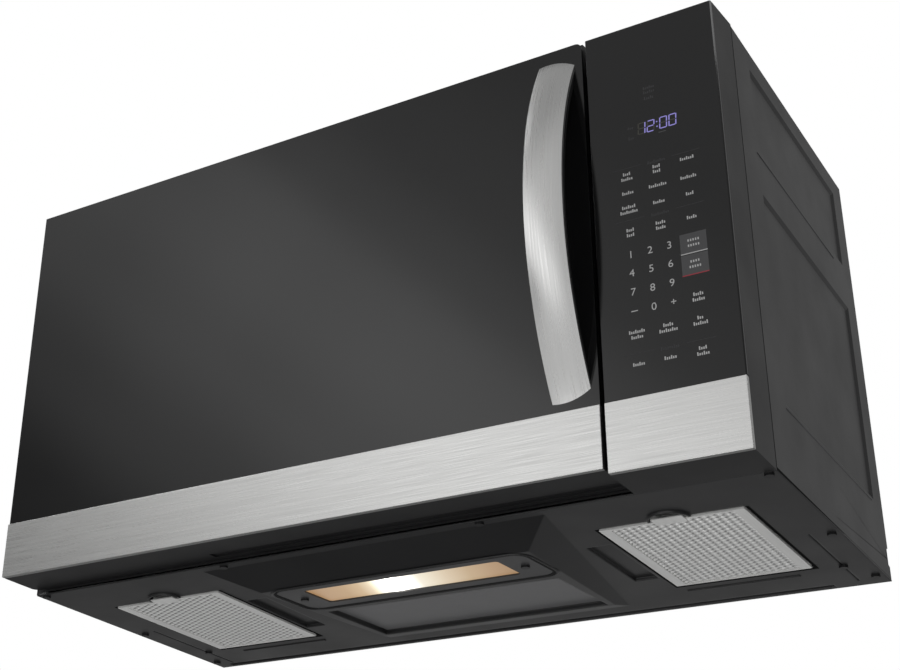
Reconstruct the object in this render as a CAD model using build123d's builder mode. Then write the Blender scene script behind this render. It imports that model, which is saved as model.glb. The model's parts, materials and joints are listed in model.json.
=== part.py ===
from build123d import *
import math
import os

# Over-the-range microwave oven with a downdraught hood underneath it.
# Frame: +X to the viewer's right, the door faces -Y, +Z up, all in millimetres.
# The origin is the centre of the rear face, the plane that hangs against the wall.

# ---------------------------------------------------------------- overall sizes
body_width = 759.0
body_height = 420.0
body_depth = 376.0
sheet = 1.0
half_width = body_width / 2
bottom = -body_height / 2
top = body_height / 2
glass_face = -body_depth

# ---------------------------------------------------------------- fascia: door and control panel
fascia_depth = 52.0
fascia_top_drop = 6.0
fascia_rise = 1.5
glass_thickness = 4.0
moulding = 3.0
panel_width = 116.3
panel_gap = 4.0
door_gap = 2.0
door_rise = 5.0
strip_height = 60.0
strip_proud = 1.2
strip_sheet = 1.2
strip_seam = 0.4
door_corner_radius = 6.0
display_inset = 55.5
display_drop = 115.0
display_size = (52.0, 38.0)
display_lip = 4.0
display_depth = 8.0
board_drop = 230.0
board_size = (92.0, 240.0, 1.6)
board_post_length = 12.0
board_post_radius = 3.5
board_post_spacing = (80.0, 220.0)
board_transformer = (35.0, 20.4, 40.0)
board_transformer_place = (-12.5, -70.0)
relay_size = (18.0, 16.0, 14.0)
relay_offset = 22.0
relay_pitch = 26.0
relay_count = 4
relay_low = -20.0
panel_left = half_width - panel_width
door_right = panel_left - panel_gap
display_x = half_width - display_inset
glass_back = glass_face + glass_thickness
cabinet_front = glass_face + fascia_depth
door_rear = cabinet_front - door_gap
door_bottom = bottom + door_rise
strip_top = bottom + strip_height
glass_bottom = strip_top + strip_seam
fascia_top_front = top - fascia_top_drop
fascia_top_rear = top + fascia_rise

# ---------------------------------------------------------------- cabinet
seam = 0.4
base_sheet = 1.6
wrap_flange = 14.0
frame_sheet = 1.2
base_top = bottom + base_sheet
wrap_bottom = base_top + seam
frame_bottom = wrap_bottom + sheet
frame_top = top - sheet
inner_half = half_width - sheet
frame_rear = cabinet_front + frame_sheet
wiring_left_margin = 12.0
wiring_right_margin = 22.0
wiring_low_margin = 30.0
wiring_high_margin = 40.0
press_depth = 2.0
press_slope = 4.0
press_front_margin = 43.0
press_rear = -29.0
press_front = cabinet_front + press_front_margin
press_low = (70.0, body_height - 151.0)
press_high = (body_height - 104.0, body_height - 20.0)
notch_height = 22.5
notch_radius = 8.5
rib_half = 11.5
rib_y = (cabinet_front + 109.0, -104.0)
rib_depth = 3.0
rear_groove_left_margin = 17.5
rear_groove_right_margin = 49.5
rear_groove_y = (-13.0, -5.0)
flange_seam_inset = 25.5
flange_seam_y = (-165.0, -16.0)
flange_seam_width = 1.6
flange_seam_depth = 0.8
groove_left_margin = 229.5
groove_right_margin = 2.0
groove_width = 10.0
groove_depth = 2.0
groove_setback = 6.0

# ---------------------------------------------------------------- oven cavity
cavity_wall = 1.0
cavity_left_margin = 33.5
bay_margin = 69.2
cavity_floor_height = 52.0
vent_space = 120.0
cavity_rear_gap = 9.0
cavity_lamp_inset = 46.0
cavity_lamp_y = -60.0
cavity_lamp_radius = 12.0
cavity_lamp_length = 28.0
cavity_lamp_plate = (44.0, 40.0, 2.0)
air_hole_radius = 3.0
air_hole_pitch = 10.0
side_vent_y = -80.0
side_vent_drop = 68.0
port_margin = 6.0
port_cover_margin = 8.0
cover_sheet = 0.8
coupler_hole_gap = 1.5
cavity_left = -half_width + cavity_left_margin
cavity_right = panel_left - bay_margin
cavity_width = cavity_right - cavity_left
cavity_centre_x = (cavity_left + cavity_right) / 2
cavity_lamp_x = cavity_left + cavity_lamp_inset
cavity_floor = bottom + cavity_floor_height
cavity_ceiling = top - vent_space
cavity_back = -cavity_rear_gap
cavity_roof = cavity_ceiling + cavity_wall
cavity_outer_right = cavity_right + cavity_wall
turntable_y = (frame_rear + cavity_back) / 2

# ---------------------------------------------------------------- lowered lamp pan in the base
filter_inset = 113.5
filter_centre_x = half_width - filter_inset
rib_centre_x = filter_centre_x - 82.0
pan_drop = 13.6
pan_rear_drop = 4.5
pan_front_y = cabinet_front + 56.0
pan_rear_y = -54.0
pan_front_half = filter_centre_x - 125.0
pan_rear_half = pan_front_half - 10.0
pan_lip_front_y = cabinet_front + 11.0
pan_lip_rear_y = -32.0
pan_lip_front_half = pan_front_half + 37.0
pan_lip_rear_half = pan_rear_half + 5.0
pan_slope = math.degrees(math.atan2(pan_drop - pan_rear_drop, pan_rear_y - pan_front_y))
pan_length = math.hypot(pan_drop - pan_rear_drop, pan_rear_y - pan_front_y)
pan_plane = Plane(
    origin=(0, pan_front_y, bottom - pan_drop),
    x_dir=(1, 0, 0),
    z_dir=(0, -math.sin(math.radians(pan_slope)), math.cos(math.radians(pan_slope))),
)
recess_depth = 5.0
recess_half = pan_rear_half - 6.0
recess_front = 95.0
recess_length = 115.0

# cooktop lamp, laid out on the pan from its front edge backwards
lamp_plate_half = pan_front_half - 8.0
lamp_plate_front = 3.0
lamp_plate_length = 77.5
lamp_plate_radius = 15.0
lamp_plate_gap = 0.6
lamp_window_half = lamp_plate_half - 30.0
lamp_window_front = 15.0
lamp_window_length = 50.0
lamp_flange_overlap = 2.0
lamp_flange = 1.0
lamp_lens_overlap = 1.5
lamp_lens_thickness = 2.0
lamp_tub_height = 34.0
lamp_tub_wall = 1.0
lamp_screw_x = lamp_plate_half - 15.0
bulb_radius = 11.0

# ---------------------------------------------------------------- grease filters
filter_width = 127.0
filter_length = 180.0
filter_front_y = cabinet_front + 68.0
filter_thickness = 8.0
filter_drop = 1.5
filter_side_rail = 9.5
filter_end_rail = 3.0
filter_side_gap = 1.5
filter_front_gap = 1.0
filter_pin_setback = 5.0
filter_pin_radius = 1.5
filter_swing_gap = 1.1
running_gap = 0.05
filter_mesh_thickness = 6.0
mesh_pitch = 8.0
mesh_hole = 4.2
mesh_columns = 13
mesh_rows = 21
tab_width = 27.0
tab_length = 15.0
tab_overhang = 9.0
tab_thickness = 1.0
finger_radius = 17.0
finger_depth = 4.0
lug_thickness = 3.0
lug_half = 4.0
filter_bottom = bottom - filter_drop
filter_rear_y = filter_front_y + filter_length
filter_pin_y = filter_rear_y - filter_pin_setback
filter_pin_z = filter_bottom + filter_thickness / 2
filter_swing = math.hypot(filter_pin_setback, filter_thickness / 2)
filter_hole_rear = filter_pin_y + filter_swing + filter_swing_gap
filter_hole_front = filter_front_y - filter_front_gap
filter_hole_half = filter_width / 2 + filter_side_gap

# ---------------------------------------------------------------- door hinge and latch
hinge_inset = 12.0
hinge_plate_offset = 6.0
hinge_notch_reach = 14.0
hinge_arm_gap = 1.5
boss_gap = 2.0
hinge_setback = 15.0
hinge_pin_radius = 3.0
hinge_arm_width = 16.0
hinge_arm_sheet = 3.0
hinge_plate_sheet = 2.0
hinge_plate_height = 42.0
lower_arm_height = 7.0
upper_arm_drop = 13.0
bush_radius = 6.0
boss_height = 16.0
boss_width = 25.0
door_rear_radius = 8.0
hinge_x = -half_width + hinge_inset
hinge_y = door_rear - hinge_setback
lower_arm = (door_bottom + lower_arm_height, door_bottom + lower_arm_height + hinge_arm_sheet)
upper_arm = (top - upper_arm_drop - hinge_arm_sheet, top - upper_arm_drop)

latch_inset = 20.7
latch_x = door_right - latch_inset
latch_arm_width = 5.0
latch_arm_height = 12.0
latch_nose = 4.0
latch_nose_length = 6.0
latch_reach = 24.0
latch_heights = (94.0, body_height - 116.0)
latch_travel = 5.0
latch_slot_gap = 2.5
latch_bar_width = 14.0
latch_bar_depth = 10.0
latch_bar_overrun = 20.0
latch_bar_gap = 2.0
board_overrun = 32.0
latch_board_sheet = 2.5
latch_wall_sheet = 3.0
catch_sheet = 3.0
switch_gap = 3.0
catch_gap = 0.4
plunger_radius = 1.5
plunger_gap = 0.3
plunger_length = 9.0
switch_size = (10.0, 20.0, 16.0)
latch_tip = cabinet_front + latch_reach
latch_slot_half = latch_arm_width / 2 + latch_slot_gap
latch_slot_x = (latch_x - latch_slot_half, latch_x + latch_slot_half)
latch_slots = [
    (
        bottom + height - latch_arm_height / 2 - latch_nose - latch_slot_gap,
        bottom + height + latch_arm_height / 2 + latch_travel + latch_slot_gap,
    )
    for height in latch_heights
]
screen_sheet = 1.0
screen_low = 8.0
screen_top_drop = 20.0
screen_pitch = 20.0
screen_hole_radius = 5.5
window_corner = 10.0
choke_depth = 3.0
screen_rear = door_rear - choke_depth
screen_front = screen_rear - screen_sheet
inner_margin = 1.0
screen_left = -half_width + moulding + boss_width
screen_right = door_right - moulding - inner_margin
screen_bottom = door_bottom + screen_low
screen_top = top - screen_top_drop
window_side_margin = 50.0
window_low_margin = 33.0
window_high_margin = 25.0
window_width = cavity_width - 2 * window_side_margin
window_bottom = cavity_floor + window_low_margin
window_height = cavity_ceiling - window_high_margin - window_bottom
window_overlap = 12.0
window_glass = 3.0

# ---------------------------------------------------------------- bow handle
handle_inset = 7.2
handle_width = 34.0
handle_low = 67.5
handle_top_drop = 19.5
handle_right = door_right - handle_inset
handle_left = handle_right - handle_width
handle_high = body_height - handle_top_drop
handle_bow = 44.0
handle_slant = 4.0
handle_skin = 3.0
handle_depth = 15.0
handle_crown_x = handle_left + 12.0
handle_left_drop = 0.3
handle_back_inset = 2.0
handle_centre_z = bottom + (handle_low + handle_high) / 2
handle_half_span = (handle_high - handle_low) / 2
handle_radius = (handle_half_span ** 2 + handle_bow ** 2) / (2 * handle_bow)
handle_face = glass_face - handle_bow
handle_axis = Axis((0, handle_face + handle_radius, handle_centre_z), (1, 0, 0))

# ---------------------------------------------------------------- turntable
coupler_shaft_radius = 3.5
coupler_hub_radius = 8.0
coupler_lobe_radius = 16.0
coupler_lobe_width = 7.0
roller_radius = 8.0
roller_width = 8.0
roller_track_radius = 118.0
roller_axle_radius = 2.0
roller_lift = 0.3
roller_count = 3
ring_width = 8.0
ring_height = 4.0
tray_radius = 148.0
tray_thickness = 5.0
tray_rim = 12.0
tray_wall = 4.0
axle_z = cavity_floor + roller_lift + roller_radius
tray_under = axle_z + roller_radius + roller_lift
motor_radius = 25.0
motor_height = 16.0
motor_shaft_depth = 9.0
motor_ear = (16.0, 12.0, 1.5)
motor_ear_offset = 28.0
lobe_gap = 1.5
tray_lug_inner = 10.5
tray_lug_outer = 16.5
tray_lug_width = 9.0
ring_clearance = 4.0
track_clearance = 1.0

# ---------------------------------------------------------------- component bay
bay_left = cavity_outer_right
bay_right = inner_half - press_depth - 1.0
bay_floor_sheet = 1.2
bay_floor_top = cavity_floor
bay_rear_y = -30.0
bay_hatch = (40.0, 120.0)
bay_hatch_margin = 5.0
bay_hatch_y = -130.0
bay_flange_depth = 15.0
waveguide_y = (-215.0, -115.0)
waveguide_height = 48.0
waveguide_rise = 195.0
waveguide_length = 105.0
waveguide_wall = 1.2
waveguide_z = (bottom + waveguide_rise, bottom + waveguide_rise + waveguide_height)
magnetron_width = 84.0
magnetron_depth = 76.0
magnetron_height = 80.0
magnetron_fins = 9
magnetron_end_margin = 6.0
magnetron_base_sheet = 3.0
magnetron_core_radius = 22.0
magnetron_box_height = 20.0
magnetron_fin_sheet = 1.5
magnetron_fin_inset = 3.0
antenna_drop = 31.0
transformer_core = (88.0, 60.0, 76.0)
transformer_side_gap = 12.0
transformer_front_gap = 28.0
winding_size = (62.0, 56.0)
winding_corner = 10.0
winding_bulge = 16.0
capacitor_size = (32.0, 52.0, 92.0)
capacitor_corner = 15.0
capacitor_side_gap = 18.0
capacitor_front_gap = 79.0
terminal_size = (6.0, 1.0, 10.0)
terminal_spacing = 20.0
antenna_radius = 10.0
fan_inset = 90.0
fan_x = bay_left + fan_inset
fan_height = 98.0
fan_radius = 58.0
fan_gap = 3.0
fan_blades = 7
fan_blade_depth = 20.0
fan_shaft_radius = 3.0
shroud_y = -45.0
shroud_sheet = 2.0
fan_motor_radius = 28.0
fan_motor_depth = 22.0
fan_motor_wall = 6.0
fan_arm_width = 10.0
fan_arm_depth = 4.0
fan_boss_radius = 14.0
fan_hub_radius = 16.0
fan_blade_chord = 22.0
fan_blade_pitch = 38.0
fan_blade_sheet = 1.5
fan_blade_gap = 2.0
shroud_side_gap = 2.0
shroud_height = 236.0

# ---------------------------------------------------------------- ventilation blower and exhaust
exhaust_width = 254.0
exhaust_depth = 83.0
exhaust_y = -78.0
collar_height = 15.0
collar_wall = 1.5
flap_gap = 2.0
flap_sheet = 1.0
flap_barrel_radius = 2.5
flap_pin_radius = 1.5
flap_height = 5.0
scroll_radius = 50.0
scroll_wall = 1.5
chamber_inner_x = 42.0
chamber_outer_x = 130.0
inlet_radius = 34.0
wheel_radius = 43.0
wheel_inner_radius = 35.0
wheel_width = 70.0
wheel_blades = 18
rotor_shaft_radius = 4.0
blower_motor_radius = 34.0
blower_motor_length = 74.0
blower_strap_half = 30.0
blower_strap_sheet = 2.0
blower_stand = (40.0, 48.0)
wheel_disc = 2.0
wheel_rim = 4.0
wheel_hub_radius = 10.0
wheel_blade_sheet = 1.6
wheel_blade_angle = 25.0
throat_margin = 1.0
collar_flange = 8.0
collar_flange_sheet = 1.5
collar_top = top - sheet
collar_bottom = collar_top - collar_height
blower_axis_z = cavity_roof + scroll_wall + scroll_radius
flap_axis_y = exhaust_y + exhaust_depth / 2 - 1.0 - flap_barrel_radius
flap_axis_z = collar_bottom + flap_height
charcoal_width = 380.0
charcoal_depth = 14.0
charcoal_height = 100.0
charcoal_y = cabinet_front + 34.0
grille_width = 600.0
grille_depth = 32.0
grille_height = 8.0
grille_front_rim = 6.0
grille_lip = 4.0
grille_columns = 24
grille_rows = 3
grille_lip_sheet = 2.0
grille_slot_pitch = 8.5
grille_slot_depth = 5.0
grille_bar = 4.0

# ---------------------------------------------------------------- fixings to the wall and the cupboard
top_bolt_spacing = 580.0
top_bolt_y = cabinet_front + 62.0
top_bolt_radius = 3.4
hook_slot_spacing = 400.0
hook_slot_length = 50.0
hook_slot_radius = 4.0
hook_slot_height = 16.0
cord_hole_x = half_width - 49.5
cord_hole_y = -50.0
cord_hole_radius = 11.0
cord_bore_radius = 8.0
grommet_lip = 3.0
grommet_top = 1.2
grommet_under = 2.0
screw_shank_radius = 1.75
screw_head_radius = 4.0
screw_head_height = 1.8
screw_length = 7.0
screw_hole_radius = 2.0
side_screw_x = half_width - 8.0
side_screw_ys = (cabinet_front + 6.0, (cabinet_front + 10.0) / 2, -24.0)
seam_screw_y = -64.0
lip_screw_xs = (-150.0, 120.0)
lip_screw_y = cabinet_front + 5.5

ALONG = {"x": (0, 90, 0), "y": (90, 0, 0), "z": (0, 0, 0)}


def block(x, y, z, mode=Mode.ADD):
    """A box between the low and high limits given for x, y and z."""
    centre = ((x[0] + x[1]) / 2, (y[0] + y[1]) / 2, (z[0] + z[1]) / 2)
    with Locations(centre):
        Box(x[1] - x[0], y[1] - y[0], z[1] - z[0], mode=mode)


def rod(centre, radius, length, along="z", mode=Mode.ADD):
    """A cylinder about its centre, along one axis."""
    with Locations(centre):
        Cylinder(radius, length, rotation=ALONG[along], mode=mode)


def slope_corners():
    """Corners, in y and z, of what is cut off so that the fascia's top rises to the cabinet."""
    above = fascia_top_rear + fascia_top_drop
    return [
        (glass_back - 1, fascia_top_front),
        (cabinet_front + 1, fascia_top_rear),
        (cabinet_front + 1, above),
        (glass_back - 1, above),
    ]


def pan_corners(front_half, rear_half, y_front, y_rear):
    """Corners of a four-sided outline that is wider at its front."""
    return [(-front_half, y_front), (front_half, y_front), (rear_half, y_rear), (-rear_half, y_rear)]


os.makedirs("parts", exist_ok=True)

# ---------------------------------------------------------------- cabinet wrap
with BuildPart() as cabinet_wrap:
    with BuildSketch(Plane.XZ):
        with Locations((0, (wrap_bottom + top) / 2)):
            Rectangle(body_width, top - wrap_bottom)
        with Locations((0, (frame_bottom + frame_top) / 2)):
            Rectangle(2 * inner_half, frame_top - frame_bottom, mode=Mode.SUBTRACT)
        with Locations((0, wrap_bottom)):
            Rectangle(body_width - 2 * wrap_flange, 4 * sheet, mode=Mode.SUBTRACT)
    extrude(amount=-cabinet_front)
    # pressed panels in both sides: each is pushed in, with sloping edges
    for side in (-1, 1):
        for low, high in (press_low, press_high):
            centre = ((press_front + press_rear) / 2, bottom + (low + high) / 2)
            length = press_rear - press_front
            height = high - low
            inner_plane = Plane.YZ.offset(side * (inner_half - press_depth))
            outer_plane = Plane.YZ.offset(side * half_width)
            floor_plane = Plane.YZ.offset(side * (half_width - press_depth))
            shrink = 2 * press_slope
            with BuildSketch(inner_plane):
                with Locations(centre):
                    Rectangle(length, height)
            extrude(amount=side * press_depth)
            with BuildSketch(outer_plane):
                with Locations(centre):
                    Rectangle(length - sheet, height - sheet)
            with BuildSketch(floor_plane):
                with Locations(centre):
                    Rectangle(length - sheet - shrink, height - sheet - shrink)
            loft(mode=Mode.SUBTRACT)
    # exhaust opening, grille opening, bolt holes and cord hole in the top
    sheet_cut = (top - 2 * sheet, top + sheet)
    exhaust_x = (-exhaust_width / 2, exhaust_width / 2)
    exhaust_span = (exhaust_y - exhaust_depth / 2, exhaust_y + exhaust_depth / 2)
    block(exhaust_x, exhaust_span, sheet_cut, Mode.SUBTRACT)
    grille_y = (cabinet_front + grille_front_rim, cabinet_front + grille_front_rim + grille_depth)
    block((-grille_width / 2, grille_width / 2), grille_y, sheet_cut, Mode.SUBTRACT)
    with Locations((0, top_bolt_y, top)):
        with GridLocations(top_bolt_spacing, 0, 2, 1):
            Cylinder(top_bolt_radius, 4 * sheet, mode=Mode.SUBTRACT)
    rod((cord_hole_x, cord_hole_y, top), cord_hole_radius, 4 * sheet, "z", Mode.SUBTRACT)
    # screw holes in the turned-in bottom flanges, and the half-round notch at the rear edge
    for side in (-1, 1):
        for screw_y in side_screw_ys:
            rod((side * side_screw_x, screw_y, wrap_bottom), screw_hole_radius, 4 * sheet, "z", Mode.SUBTRACT)
        rod((side * half_width, 0, bottom + notch_height), notch_radius, 6 * sheet, "x", Mode.SUBTRACT)
cabinet_wrap.part.label = "cabinet_wrap"
export_step(cabinet_wrap.part, "parts/cabinet_wrap.step")

# ---------------------------------------------------------------- rear panel
with BuildPart() as rear_panel:
    block((-inner_half, inner_half), (-sheet, 0), (frame_bottom, frame_top))
    with BuildSketch(Plane.XZ.offset(-sheet)):
        with Locations((0, bottom + hook_slot_height)):
            with GridLocations(hook_slot_spacing, 0, 2, 1):
                SlotOverall(hook_slot_length, 2 * hook_slot_radius)
    extrude(amount=4 * sheet, mode=Mode.SUBTRACT)
rear_panel.part.label = "rear_panel"
export_step(rear_panel.part, "parts/rear_panel.step")

# ---------------------------------------------------------------- base plate with its lamp pan
with BuildPart() as base_plate:
    block((-half_width, half_width), (cabinet_front, 0), (bottom, base_top))
    # lowered pan: an outer form, then the same form inside it
    with BuildSketch(Plane.XY.offset(bottom)):
        Polygon(*pan_corners(pan_lip_front_half, pan_lip_rear_half, pan_lip_front_y, pan_lip_rear_y))
    with BuildSketch(pan_plane):
        Polygon(*pan_corners(pan_front_half, pan_rear_half, 0, pan_length))
    loft()
    with BuildSketch(Plane.XY.offset(base_top)):
        Polygon(*pan_corners(
            pan_lip_front_half - base_sheet,
            pan_lip_rear_half - base_sheet,
            pan_lip_front_y + base_sheet,
            pan_lip_rear_y - base_sheet,
        ))
    with BuildSketch(pan_plane.offset(base_sheet)):
        Polygon(*pan_corners(
            pan_front_half - base_sheet,
            pan_rear_half - base_sheet,
            base_sheet,
            pan_length - base_sheet,
        ))
    loft(mode=Mode.SUBTRACT)
    # pushed-up flat panel behind the lamp
    with BuildSketch(pan_plane):
        with Locations((0, recess_front + recess_length / 2)):
            Rectangle(2 * (recess_half + base_sheet), recess_length + 2 * base_sheet)
    extrude(amount=recess_depth + base_sheet)
    with BuildSketch(pan_plane.offset(-base_sheet)):
        with Locations((0, recess_front + recess_length / 2)):
            Rectangle(2 * recess_half, recess_length)
    extrude(amount=recess_depth + base_sheet, mode=Mode.SUBTRACT)
    # opening for the lamp plate
    with BuildSketch(pan_plane.offset(-base_sheet)):
        with Locations((0, lamp_plate_front + lamp_plate_length / 2)):
            RectangleRounded(
                2 * (lamp_plate_half + lamp_plate_gap),
                lamp_plate_length + 2 * lamp_plate_gap,
                lamp_plate_radius,
            )
    extrude(amount=3 * base_sheet, mode=Mode.SUBTRACT)
    for side in (-1, 1):
        filter_x = side * filter_centre_x
        # filter opening, with the half-round finger recess in front of its tab
        rod((filter_x, filter_hole_front, bottom + finger_depth / 2), finger_radius + base_sheet,
            finger_depth + 2 * base_sheet)
        rod((filter_x, filter_hole_front, bottom + finger_depth / 2 - base_sheet), finger_radius,
            finger_depth + 2 * base_sheet, "z", Mode.SUBTRACT)
        block(
            (filter_x - filter_hole_half, filter_x + filter_hole_half),
            (filter_hole_front, filter_hole_rear),
            (bottom - base_sheet, bottom + 3 * finger_depth),
            Mode.SUBTRACT,
        )
        # lugs that carry the filter's rear pins
        for end in (-1, 1):
            lug_x = filter_x + end * (filter_hole_half + lug_thickness / 2)
            block(
                (lug_x - lug_thickness / 2, lug_x + lug_thickness / 2),
                (filter_pin_y - lug_half, filter_pin_y + lug_half),
                (bottom, filter_pin_z + lug_half),
            )
            rod((lug_x, filter_pin_y, filter_pin_z), filter_pin_radius + running_gap, 2 * lug_thickness,
                "x", Mode.SUBTRACT)
        # recessed rib between the filter and the pan
        rib_x = side * rib_centre_x
        block(
            (rib_x - rib_half - base_sheet, rib_x + rib_half + base_sheet),
            (rib_y[0] - base_sheet, rib_y[1] + base_sheet),
            (bottom, bottom + rib_depth + base_sheet),
        )
        block((rib_x - rib_half, rib_x + rib_half), rib_y, (bottom - 1, bottom + rib_depth), Mode.SUBTRACT)
        for screw_y in side_screw_ys:
            rod((side * side_screw_x, screw_y, bottom), screw_hole_radius, 6 * base_sheet, "z", Mode.SUBTRACT)
        # shallow seam that sets off the side flange, with a screw on it
        seam_x = side * (half_width - flange_seam_inset)
        block(
            (seam_x - flange_seam_width / 2, seam_x + flange_seam_width / 2),
            flange_seam_y,
            (bottom - 1, bottom + flange_seam_depth),
            Mode.SUBTRACT,
        )
        rod((seam_x, seam_screw_y, bottom), screw_hole_radius, 6 * base_sheet, "z", Mode.SUBTRACT)
    # pressed groove along the rear edge
    rear_groove_x = (-half_width + rear_groove_left_margin, half_width - rear_groove_right_margin)
    block(
        (rear_groove_x[0] - base_sheet, rear_groove_x[1] + base_sheet),
        (rear_groove_y[0] - base_sheet, rear_groove_y[1] + base_sheet),
        (bottom, bottom + rib_depth + base_sheet),
    )
    block(rear_groove_x, rear_groove_y, (bottom - 1, bottom + rib_depth), Mode.SUBTRACT)
    for screw_x in lip_screw_xs:
        rod((screw_x, lip_screw_y, bottom), screw_hole_radius, 6 * base_sheet, "z", Mode.SUBTRACT)
base_plate.part.label = "base_plate"
export_step(base_plate.part, "parts/base_plate.step")

# ---------------------------------------------------------------- screws under the base
with BuildPart() as underside_screws:
    screw_places = [(side * side_screw_x, y) for side in (-1, 1) for y in side_screw_ys]
    screw_places += [(side * (half_width - flange_seam_inset), seam_screw_y) for side in (-1, 1)]
    screw_places += [(x, lip_screw_y) for x in lip_screw_xs]
    for screw_x, screw_y in screw_places:
        rod((screw_x, screw_y, bottom - screw_head_height / 2), screw_head_radius, screw_head_height)
        rod((screw_x, screw_y, bottom + screw_length / 2), screw_shank_radius, screw_length)
    for side in (-1, 1):
        with BuildSketch(pan_plane.offset(-screw_head_height)):
            with Locations((side * lamp_screw_x, lamp_plate_front + lamp_plate_length / 2)):
                Circle(screw_head_radius)
        extrude(amount=screw_head_height)
        with BuildSketch(pan_plane):
            with Locations((side * lamp_screw_x, lamp_plate_front + lamp_plate_length / 2)):
                Circle(screw_shank_radius)
        extrude(amount=screw_length)
underside_screws.part.label = "underside_screws"
export_step(underside_screws.part, "parts/underside_screws.step")

# ---------------------------------------------------------------- cooktop lamp in the pan
lamp_middle = lamp_plate_front + lamp_plate_length / 2
window_middle = lamp_window_front + lamp_window_length / 2
lens_half = lamp_window_half + lamp_lens_overlap
lens_length = lamp_window_length + 2 * lamp_lens_overlap
tub_half = lens_half + 1.0
tub_length = lens_length + 2.0

with BuildPart() as lamp_cover_plate:
    with BuildSketch(pan_plane):
        with Locations((0, lamp_middle)):
            RectangleRounded(2 * lamp_plate_half, lamp_plate_length, lamp_plate_radius - lamp_plate_gap)
        with Locations((0, window_middle)):
            RectangleRounded(2 * lamp_window_half, lamp_window_length, 4, mode=Mode.SUBTRACT)
        with Locations((-lamp_screw_x, lamp_middle), (lamp_screw_x, lamp_middle)):
            Circle(screw_hole_radius, mode=Mode.SUBTRACT)
    extrude(amount=base_sheet)
lamp_cover_plate.part.label = "lamp_cover_plate"
export_step(lamp_cover_plate.part, "parts/lamp_cover_plate.step")

with BuildPart() as lamp_lens:
    with BuildSketch(pan_plane.offset(base_sheet)):
        with Locations((0, window_middle)):
            RectangleRounded(2 * lens_half, lens_length, 5)
    extrude(amount=lamp_lens_thickness)
lamp_lens.part.label = "lamp_lens"
export_step(lamp_lens.part, "parts/lamp_lens.step")

with BuildPart() as lamp_housing:
    flange_half = lamp_plate_half + lamp_flange_overlap
    flange_length = lamp_plate_length + 2 * lamp_plate_front - 2 * base_sheet
    with BuildSketch(pan_plane.offset(base_sheet)):
        with Locations((0, lamp_middle)):
            Rectangle(2 * flange_half, flange_length)
    extrude(amount=lamp_flange)
    with BuildSketch(pan_plane.offset(base_sheet)):
        with Locations((0, window_middle)):
            Rectangle(2 * (tub_half + lamp_tub_wall), tub_length + 2 * lamp_tub_wall)
    extrude(amount=lamp_tub_height)
    with BuildSketch(pan_plane.offset(base_sheet)):
        with Locations((0, window_middle)):
            Rectangle(2 * tub_half, tub_length)
    extrude(amount=lamp_tub_height - lamp_tub_wall, mode=Mode.SUBTRACT)
    with BuildSketch(pan_plane):
        with Locations((-lamp_screw_x, lamp_middle), (lamp_screw_x, lamp_middle)):
            Circle(screw_hole_radius)
    extrude(amount=screw_length, mode=Mode.SUBTRACT)
lamp_housing.part.label = "lamp_housing"
export_step(lamp_housing.part, "parts/lamp_housing.step")

socket_length = 26.0
bulb_length = 52.0
bulb_start = -tub_half + socket_length
bulb_plane = Plane(
    origin=(pan_plane.origin + pan_plane.y_dir * window_middle + pan_plane.z_dir * (lamp_tub_height / 2)),
    x_dir=(1, 0, 0),
    z_dir=pan_plane.z_dir,
)
with BuildPart() as cooktop_lamp:
    with Locations(bulb_plane):
        with Locations((-tub_half + socket_length / 2, 0, 0)):
            Cylinder(bulb_radius + 2, socket_length, rotation=ALONG["x"])
        with Locations((bulb_start + bulb_length / 2, 0, 0)):
            Cylinder(bulb_radius, bulb_length, rotation=ALONG["x"])
        with Locations((bulb_start + bulb_length, 0, 0)):
            Sphere(bulb_radius)
cooktop_lamp.part.label = "cooktop_lamp"
export_step(cooktop_lamp.part, "parts/cooktop_lamp.step")

# ---------------------------------------------------------------- grease filters, left and right
mesh_half = filter_width / 2 - filter_side_rail
mesh_length = filter_length - 2 * filter_end_rail
filter_middle_y = (filter_front_y + filter_rear_y) / 2
for side, name in ((-1, "left"), (1, "right")):
    filter_x = side * filter_centre_x
    with BuildPart() as filter_frame:
        block(
            (filter_x - filter_width / 2, filter_x + filter_width / 2),
            (filter_front_y, filter_rear_y),
            (filter_bottom, filter_bottom + filter_thickness),
        )
        block(
            (filter_x - mesh_half, filter_x + mesh_half),
            (filter_front_y + filter_end_rail, filter_rear_y - filter_end_rail),
            (filter_bottom - 1, filter_bottom + filter_thickness + 1),
            Mode.SUBTRACT,
        )
        # pull tab at the front, and the two pins at the rear
        block(
            (filter_x - tab_width / 2, filter_x + tab_width / 2),
            (filter_front_y - tab_overhang, filter_front_y - tab_overhang + tab_length),
            (filter_bottom - tab_thickness, filter_bottom),
        )
        for end in (-1, 1):
            pin_span = filter_side_gap + lug_thickness
            pin_x = filter_x + end * (filter_width / 2 + pin_span / 2)
            rod((pin_x, filter_pin_y, filter_pin_z), filter_pin_radius, pin_span, "x")
    filter_frame.part.label = f"filter_{name}_frame"
    export_step(filter_frame.part, f"parts/filter_{name}_frame.step")

    with BuildPart() as filter_mesh:
        with BuildSketch(Plane.XY.offset(filter_bottom + 0.5)):
            with Locations((filter_x, filter_middle_y)):
                Rectangle(2 * mesh_half, mesh_length)
            with Locations((filter_x, filter_middle_y)):
                with GridLocations(mesh_pitch, mesh_pitch, mesh_columns, mesh_rows):
                    Rectangle(mesh_hole, mesh_hole, rotation=45, mode=Mode.SUBTRACT)
        extrude(amount=filter_mesh_thickness)
    filter_mesh.part.label = f"filter_{name}_mesh"
    export_step(filter_mesh.part, f"parts/filter_{name}_mesh.step")

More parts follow.
